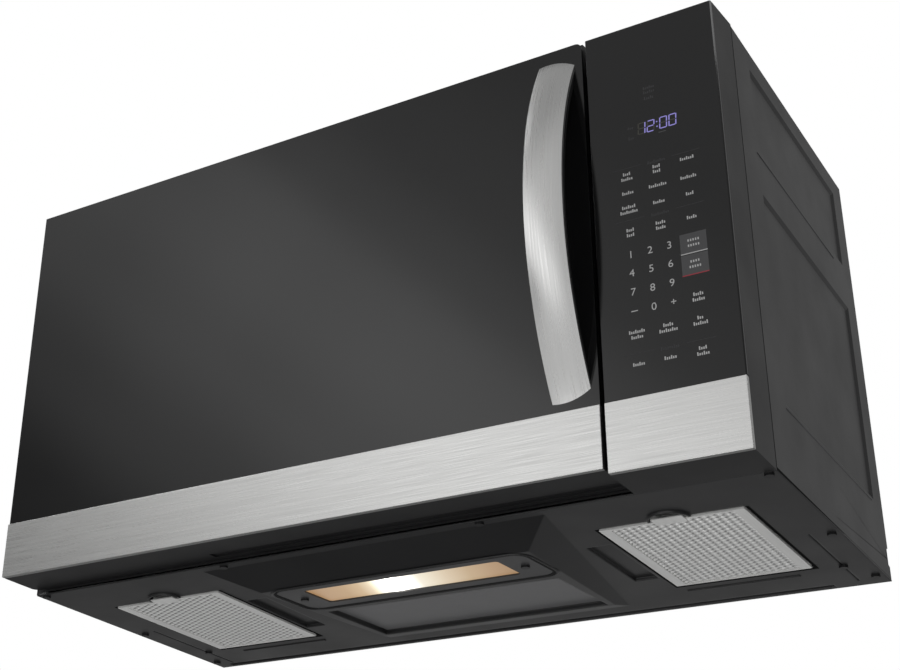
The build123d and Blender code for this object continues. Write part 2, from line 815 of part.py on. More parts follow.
# ---------------------------------------------------------------- front frame behind the door
with BuildPart() as front_frame:
    block((-inner_half, inner_half), (cabinet_front, frame_rear), (frame_bottom, frame_top))
    through = (cabinet_front - 1, frame_rear + 1)
    block((cavity_left, cavity_right), through, (cavity_floor, cavity_ceiling), Mode.SUBTRACT)
    # wiring and cooling opening behind the control panel
    block(
        (panel_left + wiring_left_margin, inner_half - wiring_right_margin),
        through,
        (cavity_floor + wiring_low_margin, frame_top - wiring_high_margin),
        Mode.SUBTRACT,
    )
    for slot_z in latch_slots:
        block(latch_slot_x, through, slot_z, Mode.SUBTRACT)
    # slots that the hinge arms pass through
    arm_x = (hinge_x - hinge_arm_width / 2, hinge_x + hinge_arm_width / 2)
    block(arm_x, through, lower_arm, Mode.SUBTRACT)
    block(arm_x, through, upper_arm, Mode.SUBTRACT)
    for side in (-1, 1):
        rod((side * side_screw_x, side_screw_ys[0], frame_bottom), screw_hole_radius, 8, "z", Mode.SUBTRACT)
front_frame.part.label = "front_frame"
export_step(front_frame.part, "parts/front_frame.step")

# ---------------------------------------------------------------- oven cavity
with BuildPart() as oven_cavity:
    block(
        (cavity_left - cavity_wall, cavity_outer_right),
        (frame_rear, cavity_back + cavity_wall),
        (cavity_floor - cavity_wall, cavity_roof),
    )
    inside_z = (cavity_floor, cavity_ceiling)
    block((cavity_left, cavity_right), (frame_rear - 1, cavity_back), inside_z, Mode.SUBTRACT)
    rod((cavity_centre_x, turntable_y, cavity_floor), coupler_shaft_radius + coupler_hole_gap,
        6 * cavity_wall, "z", Mode.SUBTRACT)
    # port into the waveguide, lamp holes, and air holes in the left wall
    port_y = (waveguide_y[0] + port_margin, waveguide_y[1] - port_margin)
    port_z = (waveguide_z[0] + port_margin, waveguide_z[1] - port_margin)
    block((cavity_right - 1, cavity_outer_right + 1), port_y, port_z, Mode.SUBTRACT)
    with Locations((cavity_lamp_x, cavity_lamp_y, cavity_ceiling)):
        with GridLocations(air_hole_pitch, air_hole_pitch, 3, 3):
            Cylinder(air_hole_radius, 6 * cavity_wall, mode=Mode.SUBTRACT)
    with Locations((cavity_left, side_vent_y, cavity_ceiling - side_vent_drop)):
        with Locations(Rotation(0, 90, 0)):
            with GridLocations(air_hole_pitch, air_hole_pitch, 4, 6):
                Cylinder(air_hole_radius, 6 * cavity_wall, mode=Mode.SUBTRACT)
oven_cavity.part.label = "oven_cavity"
export_step(oven_cavity.part, "parts/oven_cavity.step")

with BuildPart() as waveguide_cover:
    block(
        (cavity_right - cover_sheet, cavity_right),
        (port_y[0] - port_cover_margin, port_y[1] + port_cover_margin),
        (port_z[0] - port_cover_margin, port_z[1] + port_cover_margin),
    )
waveguide_cover.part.label = "waveguide_cover"
export_step(waveguide_cover.part, "parts/waveguide_cover.step")

with BuildPart() as cavity_lamp:
    lamp_plate = cavity_lamp_plate
    block(
        (cavity_lamp_x - lamp_plate[0] / 2, cavity_lamp_x + lamp_plate[0] / 2),
        (cavity_lamp_y - lamp_plate[1] / 2, cavity_lamp_y + lamp_plate[1] / 2),
        (cavity_roof, cavity_roof + lamp_plate[2]),
    )
    rod((cavity_lamp_x, cavity_lamp_y, cavity_roof + lamp_plate[2] + cavity_lamp_length / 2),
        cavity_lamp_radius, cavity_lamp_length)
    with Locations((cavity_lamp_x, cavity_lamp_y, cavity_roof + lamp_plate[2] + cavity_lamp_length)):
        Sphere(cavity_lamp_radius)
cavity_lamp.part.label = "cavity_lamp"
export_step(cavity_lamp.part, "parts/cavity_lamp.step")

# ---------------------------------------------------------------- turntable
with BuildPart() as turntable_motor:
    motor_top = cavity_floor - cavity_wall
    rod((cavity_centre_x, turntable_y, motor_top - motor_height / 2), motor_radius, motor_height)
    for end in (-1, 1):
        ear_x = cavity_centre_x + end * motor_ear_offset
        block(
            (ear_x - motor_ear[0] / 2, ear_x + motor_ear[0] / 2),
            (turntable_y - motor_ear[1] / 2, turntable_y + motor_ear[1] / 2),
            (motor_top - motor_ear[2], motor_top),
        )
    rod((cavity_centre_x, turntable_y, motor_top), coupler_shaft_radius + running_gap,
        2 * (motor_shaft_depth + 1), "z", Mode.SUBTRACT)
turntable_motor.part.label = "turntable_motor"
export_step(turntable_motor.part, "parts/turntable_motor.step")

lobe_bottom = axle_z
lobe_top = tray_under - lobe_gap
with BuildPart() as turntable_coupler:
    shaft_bottom = motor_top - motor_shaft_depth
    rod((cavity_centre_x, turntable_y, (shaft_bottom + cavity_floor) / 2), coupler_shaft_radius,
        cavity_floor - shaft_bottom + 2)
    rod((cavity_centre_x, turntable_y, (cavity_floor + 1 + lobe_top) / 2), coupler_hub_radius,
        lobe_top - cavity_floor - 1)
    with Locations((cavity_centre_x, turntable_y, (lobe_bottom + lobe_top) / 2)):
        with PolarLocations(coupler_lobe_radius / 2, 3):
            Box(coupler_lobe_radius, coupler_lobe_width, lobe_top - lobe_bottom)
turntable_coupler.part.label = "turntable_coupler"
export_step(turntable_coupler.part, "parts/turntable_coupler.step")

with BuildPart() as glass_tray:
    with BuildSketch(Plane.XZ.offset(-turntable_y)):
        with BuildLine():
            Polyline(
                (cavity_centre_x, tray_under),
                (cavity_centre_x + tray_radius - tray_rim, tray_under),
                (cavity_centre_x + tray_radius, tray_under + tray_rim),
                (cavity_centre_x + tray_radius - tray_wall, tray_under + tray_rim),
                (cavity_centre_x + tray_radius - tray_rim - tray_wall / 2, tray_under + tray_thickness),
                (cavity_centre_x, tray_under + tray_thickness),
                close=True,
            )
        make_face()
    revolve(axis=Axis((cavity_centre_x, turntable_y, 0), (0, 0, 1)))
    # three lugs that sit between the coupler's lobes
    with Locations((cavity_centre_x, turntable_y, (lobe_bottom + 1 + tray_under) / 2)):
        with PolarLocations((tray_lug_inner + tray_lug_outer) / 2, 3, start_angle=60):
            Box(tray_lug_outer - tray_lug_inner, tray_lug_width, tray_under - lobe_bottom - 1)
glass_tray.part.label = "glass_tray"
export_step(glass_tray.part, "parts/glass_tray.step")

ring_inner = coupler_lobe_radius + ring_clearance
track_inner = roller_track_radius - roller_width / 2
track_outer = roller_track_radius + roller_width / 2
with BuildPart() as roller_ring:
    with BuildSketch(Plane.XY.offset(axle_z - ring_height / 2)):
        with Locations((cavity_centre_x, turntable_y)):
            Circle(track_inner - track_clearance)
            Circle(track_inner - track_clearance - ring_width, mode=Mode.SUBTRACT)
            Circle(ring_inner + ring_width)
            Circle(ring_inner, mode=Mode.SUBTRACT)
    extrude(amount=ring_height)
    spoke_length = track_inner - 2 - ring_inner - ring_width
    with Locations((cavity_centre_x, turntable_y, axle_z)):
        with PolarLocations(ring_inner + ring_width + spoke_length / 2 - 2, roller_count):
            Box(spoke_length, ring_width, ring_height)
        with PolarLocations((track_inner - 4 + track_outer + 2) / 2, roller_count):
            Cylinder(roller_axle_radius, track_outer - track_inner + 6, rotation=ALONG["x"])
roller_ring.part.label = "roller_ring"
export_step(roller_ring.part, "parts/roller_ring.step")

for index in range(roller_count):
    angle = math.radians(360 / roller_count * index)
    with BuildPart() as roller:
        roller_plane = Plane(
            origin=(
                cavity_centre_x + roller_track_radius * math.cos(angle),
                turntable_y + roller_track_radius * math.sin(angle),
                axle_z,
            ),
            z_dir=(math.cos(angle), math.sin(angle), 0),
        )
        with BuildSketch(roller_plane.offset(-roller_width / 2)):
            Circle(roller_radius)
            Circle(roller_axle_radius + running_gap, mode=Mode.SUBTRACT)
        extrude(amount=roller_width)
    roller.part.label = f"roller_{index + 1}"
    export_step(roller.part, f"parts/roller_{index + 1}.step")

# ---------------------------------------------------------------- component bay behind the control panel
with BuildPart() as bay_floor:
    floor_span = (bay_floor_top - bay_floor_sheet, bay_floor_top)
    block((bay_left, bay_right), (frame_rear, bay_rear_y), floor_span)
    block(
        (bay_right - bay_hatch_margin - bay_hatch[0], bay_right - bay_hatch_margin),
        (bay_hatch_y - bay_hatch[1] / 2, bay_hatch_y + bay_hatch[1] / 2),
        (floor_span[0] - 1, floor_span[1] + 1),
        Mode.SUBTRACT,
    )
    block((bay_right - bay_floor_sheet, bay_right), (frame_rear, bay_rear_y),
          (floor_span[0] - bay_flange_depth, floor_span[1]))
bay_floor.part.label = "bay_floor"
export_step(bay_floor.part, "parts/bay_floor.step")

magnetron_x = bay_left + waveguide_length - magnetron_width / 2 - magnetron_end_margin
magnetron_y = (waveguide_y[0] + waveguide_y[1]) / 2
with BuildPart() as waveguide:
    block((bay_left, bay_left + waveguide_length), waveguide_y, waveguide_z)
    block(
        (bay_left - 1, bay_left + waveguide_length - waveguide_wall),
        (waveguide_y[0] + waveguide_wall, waveguide_y[1] - waveguide_wall),
        (waveguide_z[0] + waveguide_wall, waveguide_z[1] - waveguide_wall),
        Mode.SUBTRACT,
    )
    rod((magnetron_x, magnetron_y, waveguide_z[1]), antenna_radius + 3, 6, "z", Mode.SUBTRACT)
waveguide.part.label = "waveguide"
export_step(waveguide.part, "parts/waveguide.step")

with BuildPart() as magnetron:
    magnetron_z = waveguide_z[1]
    half = magnetron_width / 2
    depth = magnetron_depth / 2
    block((magnetron_x - half, magnetron_x + half), (magnetron_y - depth, magnetron_y + depth),
          (magnetron_z, magnetron_z + magnetron_base_sheet))
    core_middle = magnetron_z + magnetron_height / 2
    rod((magnetron_x, magnetron_y, core_middle), magnetron_core_radius, magnetron_height)
    fin_low = magnetron_z + 2 * magnetron_base_sheet
    fin_pitch = (magnetron_height - magnetron_box_height - 2 * magnetron_base_sheet) / magnetron_fins
    for step in range(magnetron_fins):
        with Locations((magnetron_x, magnetron_y, fin_low + fin_pitch * (step + 0.5))):
            Box(magnetron_width - 2 * magnetron_fin_inset, magnetron_depth - 2 * magnetron_fin_inset,
                magnetron_fin_sheet)
    box_inset = 2 * magnetron_fin_inset
    block(
        (magnetron_x - half + box_inset, magnetron_x + half - box_inset),
        (magnetron_y - depth + box_inset, magnetron_y + depth - box_inset),
        (magnetron_z + magnetron_height - magnetron_box_height, magnetron_z + magnetron_height),
    )
    rod((magnetron_x, magnetron_y, magnetron_z - antenna_drop / 2), antenna_radius, antenna_drop)
magnetron.part.label = "magnetron"
export_step(magnetron.part, "parts/magnetron.step")

with BuildPart() as hv_transformer:
    core_x = (bay_right - transformer_side_gap - transformer_core[0], bay_right - transformer_side_gap)
    core_y = (frame_rear + transformer_front_gap, frame_rear + transformer_front_gap + transformer_core[1])
    block(core_x, core_y, (bay_floor_top, bay_floor_top + transformer_core[2]))
    for face_y, grow in ((core_y[0], -1), (core_y[1], 1)):
        with BuildSketch(Plane.XZ.offset(-face_y)):
            with Locations(((core_x[0] + core_x[1]) / 2, bay_floor_top + transformer_core[2] / 2)):
                RectangleRounded(*winding_size, winding_corner)
        extrude(amount=-grow * winding_bulge)
hv_transformer.part.label = "hv_transformer"
export_step(hv_transformer.part, "parts/hv_transformer.step")

capacitor_x = bay_left + capacitor_side_gap + capacitor_size[0] / 2
capacitor_y = frame_rear + capacitor_front_gap + capacitor_size[1] / 2
with BuildPart() as hv_capacitor:
    with BuildSketch(Plane.XY.offset(bay_floor_top)):
        with Locations((capacitor_x, capacitor_y)):
            RectangleRounded(capacitor_size[0], capacitor_size[1], capacitor_corner)
    extrude(amount=capacitor_size[2])
    with Locations((capacitor_x, capacitor_y, bay_floor_top + capacitor_size[2] + terminal_size[2] / 2)):
        with GridLocations(0, terminal_spacing, 1, 2):
            Box(*terminal_size)
hv_capacitor.part.label = "hv_capacitor"
export_step(hv_capacitor.part, "parts/hv_capacitor.step")

fan_z = bay_floor_top + fan_height
fan_opening = fan_radius + fan_gap
motor_front = shroud_y + fan_arm_depth
with BuildPart() as fan_shroud:
    block((bay_left + shroud_side_gap, bay_right - shroud_side_gap), (shroud_y - shroud_sheet, shroud_y),
          (bay_floor_top, bay_floor_top + shroud_height))
    rod((fan_x, shroud_y, fan_z), fan_opening, 4 * shroud_sheet, "y", Mode.SUBTRACT)
    # cross arms that carry the motor behind the blade
    arm_y = (shroud_y, motor_front)
    arm_reach = fan_opening + fan_arm_width / 2
    arm_half = fan_arm_width / 2
    block((fan_x - arm_reach, fan_x + arm_reach), arm_y, (fan_z - arm_half, fan_z + arm_half))
    block((fan_x - arm_half, fan_x + arm_half), arm_y, (fan_z - arm_reach, fan_z + arm_reach))
    rod((fan_x, shroud_y + fan_arm_depth / 2, fan_z), fan_boss_radius, fan_arm_depth, "y")
    rod((fan_x, shroud_y, fan_z), fan_shaft_radius + 1, 4 * fan_arm_depth, "y", Mode.SUBTRACT)
fan_shroud.part.label = "fan_shroud"
export_step(fan_shroud.part, "parts/fan_shroud.step")

shaft_room = fan_motor_depth - fan_motor_wall + 2
with BuildPart() as fan_motor:
    rod((fan_x, motor_front + fan_motor_depth / 2, fan_z), fan_motor_radius, fan_motor_depth, "y")
    rod((fan_x, motor_front, fan_z), fan_shaft_radius + running_gap, 2 * shaft_room, "y", Mode.SUBTRACT)
fan_motor.part.label = "fan_motor"
export_step(fan_motor.part, "parts/fan_motor.step")

with BuildPart() as fan_blade:
    blade_y = shroud_y - shroud_sheet - fan_blade_gap - fan_blade_depth / 2
    rod((fan_x, blade_y, fan_z), fan_hub_radius, fan_blade_depth, "y")
    shaft_end = motor_front + fan_motor_depth - fan_motor_wall
    rod((fan_x, (blade_y + shaft_end) / 2, fan_z), fan_shaft_radius, shaft_end - blade_y, "y")
    blade_root = fan_hub_radius - 4
    blade_length = fan_radius - blade_root
    for step in range(fan_blades):
        with Locations(Location((fan_x, blade_y, fan_z), (0, 360 / fan_blades * step, 0))):
            with Locations(Location((blade_root + blade_length / 2, 0, 0), (fan_blade_pitch, 0, 0))):
                Box(blade_length, fan_blade_chord, fan_blade_sheet)
fan_blade.part.label = "fan_blade"
export_step(fan_blade.part, "parts/fan_blade.step")

# ---------------------------------------------------------------- ventilation blower on the cavity roof
with BuildPart() as blower_housing:
    for side in (-1, 1):
        chamber_x = sorted((side * chamber_inner_x, side * chamber_outer_x))
        hollow_x = sorted((side * (chamber_inner_x + scroll_wall), side * (chamber_outer_x - scroll_wall)))
        hollow_length = hollow_x[1] - hollow_x[0]
        hollow_mid = (hollow_x[0] + hollow_x[1]) / 2
        reach = scroll_radius + scroll_wall
        block(chamber_x, (exhaust_y - reach, exhaust_y + reach), (cavity_roof, collar_bottom))
        rod((hollow_mid, exhaust_y, blower_axis_z), scroll_radius, hollow_length, "x", Mode.SUBTRACT)
        throat = (exhaust_span[0] + throat_margin, exhaust_span[1] - throat_margin)
        throat_x = (
            max(hollow_x[0], exhaust_x[0] + throat_margin),
            min(hollow_x[1], exhaust_x[1] - throat_margin),
        )
        block(throat_x, throat, (blower_axis_z, collar_bottom + 1), Mode.SUBTRACT)
        rod((hollow_mid, exhaust_y, blower_axis_z), inlet_radius, 2 * hollow_length, "x", Mode.SUBTRACT)
    # strap that joins the two chambers under the motor
    block((-chamber_inner_x, chamber_inner_x), (exhaust_y - blower_strap_half, exhaust_y + blower_strap_half),
          (cavity_roof, cavity_roof + blower_strap_sheet))
blower_housing.part.label = "blower_housing"
export_step(blower_housing.part, "parts/blower_housing.step")

with BuildPart() as blower_motor:
    rod((0, exhaust_y, blower_axis_z), blower_motor_radius, blower_motor_length, "x")
    block(
        (-blower_stand[0] / 2, blower_stand[0] / 2),
        (exhaust_y - blower_stand[1] / 2, exhaust_y + blower_stand[1] / 2),
        (cavity_roof + blower_strap_sheet, blower_axis_z),
    )
    rod((0, exhaust_y, blower_axis_z), rotor_shaft_radius + running_gap, 2 * blower_motor_length, "x",
        Mode.SUBTRACT)
blower_motor.part.label = "blower_motor"
export_step(blower_motor.part, "parts/blower_motor.step")

wheel_x = (chamber_inner_x + chamber_outer_x) / 2
with BuildPart() as blower_rotor:
    rod((0, exhaust_y, blower_axis_z), rotor_shaft_radius, 2 * (wheel_x + wheel_width / 2), "x")
    for side in (-1, 1):
        disc_x = side * (wheel_x - wheel_width / 2 + wheel_disc / 2)
        rim_x = side * (wheel_x + wheel_width / 2 - wheel_rim / 2)
        rod((disc_x, exhaust_y, blower_axis_z), wheel_radius, wheel_disc, "x")
        rod((side * wheel_x, exhaust_y, blower_axis_z), wheel_hub_radius, wheel_width, "x")
        with BuildSketch(Plane.YZ.offset(rim_x - wheel_rim / 2)):
            with Locations((exhaust_y, blower_axis_z)):
                Circle(wheel_radius)
                Circle(wheel_inner_radius, mode=Mode.SUBTRACT)
        extrude(amount=wheel_rim)
        with Locations(Location((side * wheel_x, exhaust_y, blower_axis_z), (0, 90, 0))):
            with PolarLocations((wheel_radius + wheel_inner_radius) / 2, wheel_blades):
                Box(
                    wheel_radius - wheel_inner_radius,
                    wheel_blade_sheet,
                    wheel_width - wheel_disc / 2,
                    rotation=(0, 0, wheel_blade_angle),
                )
blower_rotor.part.label = "blower_rotor"
export_step(blower_rotor.part, "parts/blower_rotor.step")

# ---------------------------------------------------------------- exhaust collar and its damper flap
with BuildPart() as exhaust_collar:
    outer_x = (exhaust_x[0] - collar_wall, exhaust_x[1] + collar_wall)
    outer_y = (exhaust_span[0] - collar_wall, exhaust_span[1] + collar_wall)
    block(outer_x, outer_y, (collar_bottom, collar_top))
    block(
        (outer_x[0] - collar_flange, outer_x[1] + collar_flange),
        (outer_y[0] - collar_flange, outer_y[1] + collar_flange),
        (collar_top - collar_flange_sheet, collar_top),
    )
    block(exhaust_x, exhaust_span, (collar_bottom - 1, collar_top + 1), Mode.SUBTRACT)
    flap_centre = (0, flap_axis_y, flap_axis_z)
    rod(flap_centre, flap_pin_radius + running_gap, exhaust_width + 8 * collar_wall, "x", Mode.SUBTRACT)
exhaust_collar.part.label = "exhaust_collar"
export_step(exhaust_collar.part, "parts/exhaust_collar.step")

with BuildPart() as damper_flap:
    flap_half = exhaust_width / 2 - flap_gap
    rod(flap_centre, flap_barrel_radius, 2 * flap_half, "x")
    rod(flap_centre, flap_pin_radius, exhaust_width + 2 * collar_wall, "x")
    block(
        (-flap_half, flap_half),
        (exhaust_span[0] + flap_gap, flap_axis_y),
        (flap_axis_z - flap_sheet / 2, flap_axis_z + flap_sheet / 2),
    )
damper_flap.part.label = "damper_flap"
export_step(damper_flap.part, "parts/damper_flap.step")

# ---------------------------------------------------------------- recirculation filter and vent grille
with BuildPart() as charcoal_filter:
    block(
        (-charcoal_width / 2, charcoal_width / 2),
        (charcoal_y, charcoal_y + charcoal_depth),
        (cavity_roof, cavity_roof + charcoal_height),
    )
charcoal_filter.part.label = "charcoal_filter"
export_step(charcoal_filter.part, "parts/charcoal_filter.step")

with BuildPart() as vent_grille:
    grille_x = (-grille_width / 2, grille_width / 2)
    block(grille_x, grille_y, (top - grille_height, top))
    block(
        (grille_x[0] - grille_lip, grille_x[1] + grille_lip),
        (grille_y[0] - grille_lip, grille_y[1] + grille_lip),
        (collar_top - grille_lip_sheet, collar_top),
    )
    grille_pitch = grille_width / grille_columns
    with Locations((0, (grille_y[0] + grille_y[1]) / 2, top)):
        with GridLocations(grille_pitch, grille_slot_pitch, grille_columns, grille_rows):
            Box(grille_pitch - grille_bar, grille_slot_depth, 4 * grille_height, mode=Mode.SUBTRACT)
vent_grille.part.label = "vent_grille"
export_step(vent_grille.part, "parts/vent_grille.step")

with BuildPart() as cord_grommet:
    rod((cord_hole_x, cord_hole_y, top - sheet / 2), cord_hole_radius, sheet)
    lip_radius = cord_hole_radius + grommet_lip
    rod((cord_hole_x, cord_hole_y, top + grommet_top / 2), lip_radius, grommet_top)
    rod((cord_hole_x, cord_hole_y, frame_top - grommet_under / 2), lip_radius, grommet_under)
    rod((cord_hole_x, cord_hole_y, top), cord_bore_radius, 20 * sheet, "z", Mode.SUBTRACT)
cord_grommet.part.label = "cord_grommet"
export_step(cord_grommet.part, "parts/cord_grommet.step")

# ---------------------------------------------------------------- control panel on the right
panel_x = (panel_left, half_width)
housing_front = glass_back
module_front = housing_front + moulding
board_y = module_front + board_post_length
board_centre = ((panel_left + half_width) / 2, top - board_drop)
display_window_x = (display_x - display_size[0] / 2, display_x + display_size[0] / 2)
display_z = top - display_drop
display_window_z = (display_z - display_size[1] / 2, display_z + display_size[1] / 2)
with BuildPart() as panel_housing:
    block(panel_x, (housing_front, cabinet_front), (bottom, fascia_top_rear))
    with BuildSketch(Plane.YZ.offset(panel_left - 1)):
        Polygon(*slope_corners())
    extrude(amount=half_width - panel_left + 2, mode=Mode.SUBTRACT)
    block(
        (panel_x[0] + moulding, panel_x[1] - moulding),
        (housing_front + moulding, cabinet_front + 1),
        (bottom + moulding, fascia_top_front - moulding),
        Mode.SUBTRACT,
    )
    through_front = (housing_front - 1, housing_front + moulding + 1)
    block(display_window_x, through_front, display_window_z, Mode.SUBTRACT)
    with Locations((board_centre[0], module_front + board_post_length / 2, board_centre[1])):
        with Locations(Rotation(90, 0, 0)):
            with GridLocations(*board_post_spacing, 2, 2):
                Cylinder(board_post_radius, board_post_length)
panel_housing.part.label = "panel_housing"
export_step(panel_housing.part, "parts/panel_housing.step")

with BuildPart() as panel_glass:
    block(panel_x, (glass_face, glass_back), (glass_bottom, fascia_top_front))
    chamfer(panel_glass.edges().filter_by(Axis.Z).group_by(Axis.Y)[0].sort_by(Axis.X)[-1], 1.0)
panel_glass.part.label = "panel_glass"
export_step(panel_glass.part, "parts/panel_glass.step")


def strip_limits(x_low, x_high, z_low, inset):
    """Limits of a bottom strip, or of the hollow behind its face."""
    return (
        (x_low + inset, x_high - inset),
        (glass_face - strip_proud + inset, glass_back + (1 if inset else 0)),
        (z_low + inset, strip_top - inset),
    )


with BuildPart() as panel_trim:
    block(*strip_limits(panel_left, half_width, bottom, 0))
    fillet(panel_trim.edges().group_by(Axis.Y)[0], 0.5)
    block(*strip_limits(panel_left, half_width, bottom, strip_sheet), Mode.SUBTRACT)
panel_trim.part.label = "panel_trim"
export_step(panel_trim.part, "parts/panel_trim.step")

with BuildPart() as display_module:
    block(
        (display_window_x[0] - display_lip, display_window_x[1] + display_lip),
        (module_front, module_front + display_depth),
        (display_window_z[0] - display_lip, display_window_z[1] + display_lip),
    )
display_module.part.label = "display_module"
export_step(display_module.part, "parts/display_module.step")

with BuildPart() as control_board:
    board_back = board_y + board_size[2]
    block(
        (board_centre[0] - board_size[0] / 2, board_centre[0] + board_size[0] / 2),
        (board_y, board_back),
        (board_centre[1] - board_size[1] / 2, board_centre[1] + board_size[1] / 2),
    )
    with Locations((
        board_centre[0] + board_transformer_place[0],
        board_back + board_transformer[1] / 2,
        board_centre[1] + board_transformer_place[1],
    )):
        Box(*board_transformer)
    for step in range(relay_count):
        relay_z = board_centre[1] + relay_low + relay_pitch * step
        with Locations((board_centre[0] + relay_offset, board_back + relay_size[1] / 2, relay_z)):
            Box(*relay_size)
control_board.part.label = "control_board"
export_step(control_board.part, "parts/control_board.step")

# ---------------------------------------------------------------- door
door_x = (-half_width, door_right)
window_x = (cavity_centre_x - window_width / 2, cavity_centre_x + window_width / 2)
window_z = (window_bottom, window_bottom + window_height)
with BuildPart() as door_glass:
    with BuildSketch(Plane.XZ.offset(-glass_back)):
        with Locations(((door_x[0] + door_x[1]) / 2, (glass_bottom + fascia_top_front) / 2)):
            Rectangle(door_x[1] - door_x[0], fascia_top_front - glass_bottom)
        fillet(vertices().group_by(Axis.X)[-1].sort_by(Axis.Y)[-1], door_corner_radius)
    extrude(amount=glass_thickness)
    chamfer(door_glass.edges().filter_by(Axis.Z).group_by(Axis.Y)[0].sort_by(Axis.X)[0], 1.0)
door_glass.part.label = "door_glass"
export_step(door_glass.part, "parts/door_glass.step")

with BuildPart() as door_trim:
    block(*strip_limits(-half_width, door_right, door_bottom, 0))
    fillet(door_trim.edges().group_by(Axis.Y)[0], 0.5)
    block(*strip_limits(-half_width, door_right, door_bottom, strip_sheet), Mode.SUBTRACT)
door_trim.part.label = "door_trim"
export_step(door_trim.part, "parts/door_trim.step")

hinge_zone = -half_width + moulding + boss_width
lower_boss = (lower_arm[1] + boss_gap, lower_arm[1] + boss_gap + boss_height)
upper_boss = (upper_arm[0] - boss_gap - boss_height, upper_arm[0] - boss_gap)
pocket_top = fascia_top_front - moulding
with BuildPart() as door_frame:
    with BuildSketch(Plane.XZ.offset(-door_rear)):
        with Locations(((door_x[0] + door_x[1]) / 2, (door_bottom + fascia_top_rear) / 2)):
            Rectangle(door_x[1] - door_x[0], fascia_top_rear - door_bottom)
        fillet(vertices().group_by(Axis.X)[-1].sort_by(Axis.Y)[-1], door_corner_radius)
    extrude(amount=door_rear - glass_back)
    with BuildSketch(Plane.YZ.offset(-half_width - 1)):
        Polygon(*slope_corners())
    extrude(amount=door_right + half_width + 2, mode=Mode.SUBTRACT)
    rear_left = door_frame.edges().filter_by(Axis.Z).group_by(Axis.X)[0].sort_by(Axis.Y)[-1]
    fillet(rear_left, door_rear_radius)
    # pocket open to the rear, leaving a block for each bush at the hinge side
    pocket_y = (glass_back + moulding, door_rear + 1)
    block((hinge_zone, door_right - moulding), pocket_y, (door_bottom + moulding, pocket_top), Mode.SUBTRACT)
    hinge_pocket = (-half_width + moulding, hinge_zone)
    block(hinge_pocket, pocket_y, (lower_boss[1], upper_boss[0]), Mode.SUBTRACT)
    for arm, boss_face, shell_face in (
        (lower_arm, lower_boss[0], door_bottom + moulding),
        (upper_arm, upper_boss[1], pocket_top),
    ):
        notch = sorted((boss_face, shell_face))
        block((-half_width - 1, hinge_zone), (hinge_y - hinge_notch_reach, door_rear + 1),
              (arm[0] - hinge_arm_gap, arm[1] + hinge_arm_gap), Mode.SUBTRACT)
        block(hinge_pocket, pocket_y, notch, Mode.SUBTRACT)
    for boss in (lower_boss, upper_boss):
        rod((hinge_x, hinge_y, (boss[0] + boss[1]) / 2), bush_radius, boss_height + 2, "z", Mode.SUBTRACT)
    # window behind the glass
    block(window_x, (glass_back - 1, glass_back + moulding + 1), window_z, Mode.SUBTRACT)
    # groove along the rear of the door's underside
    groove_y = (door_rear - groove_setback - groove_width, door_rear - groove_setback)
    groove_x = (door_x[0] + groove_left_margin, door_right - groove_right_margin)
    block(groove_x, groove_y, (door_bottom - 1, door_bottom + groove_depth), Mode.SUBTRACT)
door_frame.part.label = "door_frame"
export_step(door_frame.part, "parts/door_frame.step")

with BuildPart() as door_bushes:
    for boss in (lower_boss, upper_boss):
        rod((hinge_x, hinge_y, (boss[0] + boss[1]) / 2), bush_radius, boss_height)
        rod((hinge_x, hinge_y, (boss[0] + boss[1]) / 2), hinge_pin_radius + running_gap, boss_height + 2, "z",
            Mode.SUBTRACT)
door_bushes.part.label = "door_bushes"
export_step(door_bushes.part, "parts/door_bushes.step")

screen_columns = int(window_width / screen_pitch) - 1
screen_rows = int(window_height / screen_pitch) - 1
with BuildPart() as door_screen:
    with BuildSketch(Plane.XZ.offset(-screen_rear)):
        with Locations(((screen_left + screen_right) / 2, (screen_bottom + screen_top) / 2)):
            Rectangle(screen_right - screen_left, screen_top - screen_bottom)
        with Locations((cavity_centre_x, (window_z[0] + window_z[1]) / 2)):
            with GridLocations(screen_pitch, screen_pitch, screen_columns, screen_rows):
                Circle(screen_hole_radius, mode=Mode.SUBTRACT)
        for low, high in latch_slots:
            with Locations((latch_x, (low + high) / 2)):
                Rectangle(2 * latch_slot_half, high - low, mode=Mode.SUBTRACT)
    extrude(amount=screen_sheet)
door_screen.part.label = "door_screen"
export_step(door_screen.part, "parts/door_screen.step")

with BuildPart() as door_window:
    with BuildSketch(Plane.XZ.offset(-screen_front)):
        with Locations((cavity_centre_x, (window_z[0] + window_z[1]) / 2)):
            Rectangle(window_width + 2 * window_overlap, window_height + 2 * window_overlap)
    extrude(amount=window_glass)
door_window.part.label = "door_window"
export_step(door_window.part, "parts/door_window.step")

with BuildPart() as choke_cover:
    with BuildSketch(Plane.XZ.offset(-door_rear)):
        with Locations(((screen_left + screen_right) / 2, (screen_bottom + screen_top) / 2)):
            Rectangle(screen_right - screen_left, screen_top - screen_bottom)
        with Locations((cavity_centre_x, (window_z[0] + window_z[1]) / 2)):
            RectangleRounded(window_width, window_height, window_corner, mode=Mode.SUBTRACT)
        for low, high in latch_slots:
            with Locations((latch_x, (low + high) / 2)):
                Rectangle(2 * latch_slot_half, high - low, mode=Mode.SUBTRACT)
    extrude(amount=choke_depth)
choke_cover.part.label = "choke_cover"
export_step(choke_cover.part, "parts/choke_cover.step")

